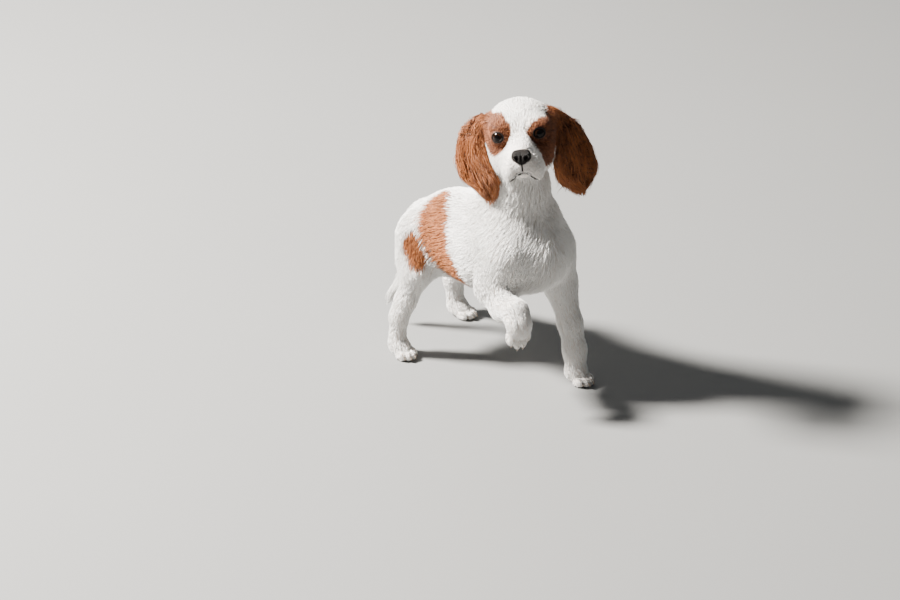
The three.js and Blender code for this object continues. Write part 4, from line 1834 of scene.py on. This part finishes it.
class Shader:
    """A material's node tree, with one Principled shader."""

    def __init__(self, name: str) -> None:
        """Starts a material of that name."""
        self.material = bpy.data.materials.new(name)
        self.material.use_nodes = True
        self.tree = self.material.node_tree
        self.surface = self.tree.nodes["Principled BSDF"]

    def node(
        self,
        kind: str,
        settings: dict[str, Any] | None = None,
        inputs: dict[Any, Any] | None = None,
        output: Any = 0,
    ) -> Value:
        """Adds a node.

        Args:
            kind: The node's type without its prefix, such as TexNoise.
            settings: Properties, set before the inputs.
            inputs: Values or links of its sockets, by name or number.
            output: The socket to return.

        Returns:
            The node's output.
        """
        made = self.tree.nodes.new(f"ShaderNode{kind}")
        for name, value in (settings or {}).items():
            setattr(made, name, value)
        for name, value in (inputs or {}).items():
            self.join(value, made.inputs[name])
        return Value(self, made.outputs[output])

    def join(self, value: Any, socket: Any) -> None:
        """Links a value to a socket, or sets the socket to it."""
        if isinstance(value, Value):
            self.tree.links.new(value.socket, socket)
        elif isinstance(value, tuple) and len(value) == 3 and socket.type == "RGBA":
            socket.default_value = (*value, 1)
        else:
            socket.default_value = value

    def set(self, **sockets: Any) -> None:
        """Sets the surface's sockets, named with _ for a space."""
        for name, value in sockets.items():
            self.join(value, self.surface.inputs[name.replace("_", " ")])

    def attribute(self, name: str) -> tuple[Value, Value, Value]:
        """The three numbers that a mesh keeps at its vertices."""
        kept = self.node("Attribute", {"attribute_name": name}, output="Vector")
        parts = self.node("SeparateXYZ", inputs={0: kept}).socket.node
        return tuple(Value(self, parts.outputs[k]) for k in range(3))

    def number(self, name: str) -> Value:
        """The one number that a mesh keeps at its vertices."""
        return self.node("Attribute", {"attribute_name": name}, output="Fac")

    def mix(self, factor: Any, low: Any, high: Any) -> Value:
        """A mix of two colours."""
        return self.node("Mix", {"data_type": "RGBA"}, {0: factor, 6: low, 7: high}, 2)

    def place(self) -> Value:
        """The piece's own places."""
        return self.node("TexCoord", output="Object")

    def noise(self, scale: float, detail: float = 2.0, rough: float = 0.5) -> Value:
        """Noise on the piece's own places, with scale in cells to the metre."""
        inputs = {"Vector": self.place(), "Scale": scale, "Detail": detail, "Roughness": rough}
        return self.node("TexNoise", inputs=inputs)

    def bump(self, height: Value, distance: float) -> None:
        """Raises the surface by a height, which is distance in metres where it is 1."""
        inputs = {"Height": height, "Distance": distance, "Strength": 1.0}
        self.set(Normal=self.node("Bump", inputs=inputs))


@dataclass(frozen=True)
class CoatFinish:
    """Hair, white or chestnut by the share that each tuft keeps."""

    white_root: Colour = (0.87, 0.83, 0.78)
    white_tip: Colour = (0.95, 0.935, 0.91)
    chestnut_root: Colour = (0.125, 0.033, 0.010)
    chestnut_tip: Colour = (0.43, 0.145, 0.041)
    roughness: float = 0.62
    sheen: float = 0.06

    def material(self) -> Material:
        """The finish as a material."""
        shader = Shader("coat")
        along, shade, tint = shader.attribute(COAT_ATTRIBUTE)
        light = along * 0.55 + shade * 0.6 - 0.05
        patchy = shader.noise(160, 3)
        white = shader.mix((light + patchy * 0.2).ramp(0, 1), self.white_root, self.white_tip)
        uneven = (light + patchy * 0.5 - 0.25).ramp(0, 1)
        chestnut = shader.mix(uneven, self.chestnut_root, self.chestnut_tip)
        shader.set(Base_Color=shader.mix(tint, white, chestnut), Roughness=self.roughness)
        shader.set(Sheen_Weight=self.sheen, Sheen_Roughness=0.5, Specular_IOR_Level=0.3)
        return shader.material


@dataclass(frozen=True)
class SkinFinish:
    """The skin: pale under white hair, brown under chestnut and kept dark there as painted shade between
    the hairs, dark on the lids' rims, lips and pads, with painted shade on the chin under the lips.
    """

    pale: Colour = (0.86, 0.80, 0.74)
    flush: Colour = (0.70, 0.48, 0.40)
    # brown skin under chestnut hair, darkened as painted shade so that bare spots read as shade between
    # the hairs
    brown: Colour = (0.085, 0.026, 0.009)
    dark: Colour = (0.010, 0.007, 0.006)
    roughness: float = 0.62

    def material(self) -> Material:
        """The finish as a material."""
        shader = Shader("skin")
        tint = shader.attribute(COAT_ATTRIBUTE)[2]
        pigment = shader.number(PIGMENT_AND_SHADE_ATTRIBUTE)
        fine = shader.noise(900, 4, 0.6)
        flushed = shader.mix(shader.noise(120, 2) * 0.18, self.pale, self.flush)
        # partly painted shade: the dark brown under chestnut stands in for shade between the hairs
        base = shader.mix((tint + fine * 0.3 - 0.15).ramp(0.2, 0.8), flushed, self.brown)
        colour = shader.mix((pigment + fine * 0.3 - 0.15).ramp(0.25, 0.75), base, self.dark)
        shader.set(Base_Color=colour, Roughness=self.roughness - 0.12 * pigment, Specular_IOR_Level=0.2)
        shader.bump(fine, 0.0003)
        return shader.material


@dataclass(frozen=True)
class LeatherFinish:
    """The nose's leather: nearly black, pebbled, a little moist, with painted shade in the nostrils."""

    colour: Colour = (0.006, 0.004, 0.0035)
    worn: Colour = (0.014, 0.0095, 0.008)
    # colour of the painted shade in the nostrils
    nostril_painted_shade: Colour = (0.006, 0.004, 0.004)

    def material(self) -> Material:
        """The finish as a material."""
        shader = Shader("nose_leather")
        inputs = {"Vector": shader.place(), "Scale": 1500.0}
        edges = shader.node("TexVoronoi", {"feature": "DISTANCE_TO_EDGE"}, inputs)
        pebbles = edges.ramp(0, 0.12)
        nostril_painted_shade = shader.number(PIGMENT_AND_SHADE_ATTRIBUTE)
        base = shader.mix(shader.noise(500, 3) * pebbles, self.colour, self.worn)
        # painted shade in the nostrils, by their depth
        shader.set(Base_Color=shader.mix(nostril_painted_shade.ramp(0.35, 0.9), base, self.nostril_painted_shade))
        shader.set(Roughness=0.42 + 0.2 * pebbles, Specular_IOR_Level=0.2)
        shader.bump(pebbles, 0.00025)
        return shader.material


@dataclass(frozen=True)
class EyeFinish:
    """A dark brown eye: pupil, iris and white by the degrees off the gaze where each ends."""

    pupil: float = 19.0
    iris: float = 40.0
    pupil_colour: Colour = (0.002, 0.0015, 0.0015)
    inner_brown: Colour = (0.016, 0.006, 0.0025)
    outer_brown: Colour = (0.006, 0.003, 0.002)
    white: Colour = (0.05, 0.035, 0.03)

    def material(self) -> Material:
        """The finish as a material."""
        shader = Shader("eye_brown")
        angle = shader.number("off_gaze")
        streaks = shader.noise(1600, 3)
        outward = (angle + streaks * 8).ramp(self.pupil, self.iris)
        brown = shader.mix(outward, self.inner_brown, self.outer_brown)
        iris = shader.mix(angle.ramp(self.pupil - 1.5, self.pupil + 1.5), self.pupil_colour, brown)
        shader.set(Base_Color=shader.mix(angle.ramp(self.iris, self.iris + 5), iris, self.white))
        shader.set(Roughness=0.05, Coat_Weight=0.22, Coat_Roughness=0.02, Specular_IOR_Level=0.05)
        return shader.material


@dataclass(frozen=True)
class ClawFinish:
    """Pale horn with darker streaks."""

    horn: Colour = (0.42, 0.33, 0.25)
    streak: Colour = (0.16, 0.11, 0.08)

    def material(self) -> Material:
        """The finish as a material."""
        shader = Shader("claw_horn")
        grain = shader.noise(700, 3)
        shader.set(Base_Color=shader.mix(grain.ramp(0.35, 0.7), self.horn, self.streak), Roughness=0.38)
        shader.bump(grain, 0.00008)
        return shader.material


@dataclass(frozen=True)
class FloorFinish:
    """A plain pale floor with a soft, uneven sheen."""

    colour: Colour = (0.21, 0.21, 0.206)
    roughness: float = 0.75

    def material(self) -> Material:
        """The finish as a material."""
        shader = Shader("pale_floor")
        cloud = shader.noise(3, 3)
        darker = tuple(0.94 * c for c in self.colour)
        shader.set(Base_Color=shader.mix(cloud, self.colour, darker), Roughness=self.roughness)
        return shader.material


# Studio


class Studio:
    """The floor, the lights and the camera."""

    floor_size = 12.0

    @dataclass(frozen=True)
    class Lamp:
        """A soft square lamp, in metres, aimed at the dog."""

        name: str
        at: Place
        size: float
        power: float
        colour: Colour

    lamps = (
        Lamp("key", (-1.78, -1.34, 2.15), 0.5, 880, (1.0, 0.965, 0.91)),
        Lamp("fill", (2.2, 0.6, 1.5), 2.4, 3, (0.90, 0.95, 1.0)),
        Lamp("rim", (-1.6, 1.3, 1.7), 1.4, 14, (1.0, 0.98, 0.95)),
    )
    ambient: Colour = (0.80, 0.86, 0.92)
    ambient_strength = 0.12
    aimed_at: Place = (0, 0, 0.15)

    @dataclass(frozen=True)
    class Camera:
        """The camera's place in the maker's frame, its heading and its lens."""

        at: Place = (1494.15, -1492.38, 1067.77)
        azimuth: float = 44.4
        pitch: float = 26.0
        lens: float = 92.0
        sensor: float = 36.0

        def rotation(self) -> Matrix:
            """Its axes: right, up and back."""
            t, p = math.radians(self.azimuth), math.radians(self.pitch)
            right = Vector((math.cos(t), math.sin(t), 0))
            toward = Vector((math.sin(t), -math.cos(t), 0))
            up = Vector((0, 0, math.cos(p))) - math.sin(p) * toward
            back = math.cos(p) * toward + Vector((0, 0, math.sin(p)))
            return Matrix((right, up, back)).transposed()

    def lay_floor(self) -> None:
        """A wide floor at the height of the soles."""
        bm = bmesh.new()
        bmesh.ops.create_grid(bm, x_segments=8, y_segments=8, size=self.floor_size / 2)
        mesh = mesh_from(bm, "floor")
        mesh.materials.append(FloorFinish().material())
        floor = place_in_scene("floor", mesh)

    def light(self) -> None:
        """The lamps and an even, cool ambience."""
        for lamp in self.lamps:
            data = bpy.data.lights.new(lamp.name, "AREA")
            data.shape = "SQUARE"
            data.size = lamp.size
            data.energy = lamp.power
            data.color = lamp.colour
            made = place_in_scene(lamp.name, data)
            made.location = lamp.at
            aim = Vector(self.aimed_at) - Vector(lamp.at)
            made.rotation_euler = aim.to_track_quat("-Z", "Y").to_euler()
        world = bpy.data.worlds.new("studio")
        world.use_nodes = True
        sky = world.node_tree.nodes["Background"]
        sky.inputs["Color"].default_value = (*self.ambient, 1)
        sky.inputs["Strength"].default_value = self.ambient_strength
        bpy.context.scene.world = world

    def place_camera(self) -> None:
        """The camera that sees the dog as the photograph does."""
        view = self.Camera()
        data = bpy.data.cameras.new("camera")
        data.lens = view.lens
        data.sensor_width = view.sensor
        data.sensor_fit = "HORIZONTAL"
        data.clip_end = 50
        camera = place_in_scene("camera", data)
        spot = Vector((np.array(view.at) - FOOTPRINT) * MM)
        camera.matrix_world = Matrix.Translation(spot) @ view.rotation().to_4x4()
        bpy.context.scene.camera = camera


def main() -> None:
    """Builds the dog piece by piece, then the studio round it."""
    logging.basicConfig(level=logging.INFO, format="%(relativeCreated)6d ms %(message)s")
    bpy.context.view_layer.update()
    studio = Studio()
    studio.place_camera()
    body = Body()
    skin = Skin(body)
    log.info("skin: %d faces", len(skin.mesh.polygons))
    coat = Coat(body, skin)
    log.info("roots: %d", len(coat.roots.points))
    skin.finished(SkinFinish().material())
    coat.grow(CoatFinish().material())
    features = Features()
    features.nose(LeatherFinish().material())
    eye_finish, claw_finish = EyeFinish().material(), ClawFinish().material()
    for name in EYES:
        features.eye(name, eye_finish)
    for name, leg in LEGS.items():
        features.claws(name, leg, claw_finish)
    studio.lay_floor()
    studio.light()


if __name__ == "__main__":
    main()
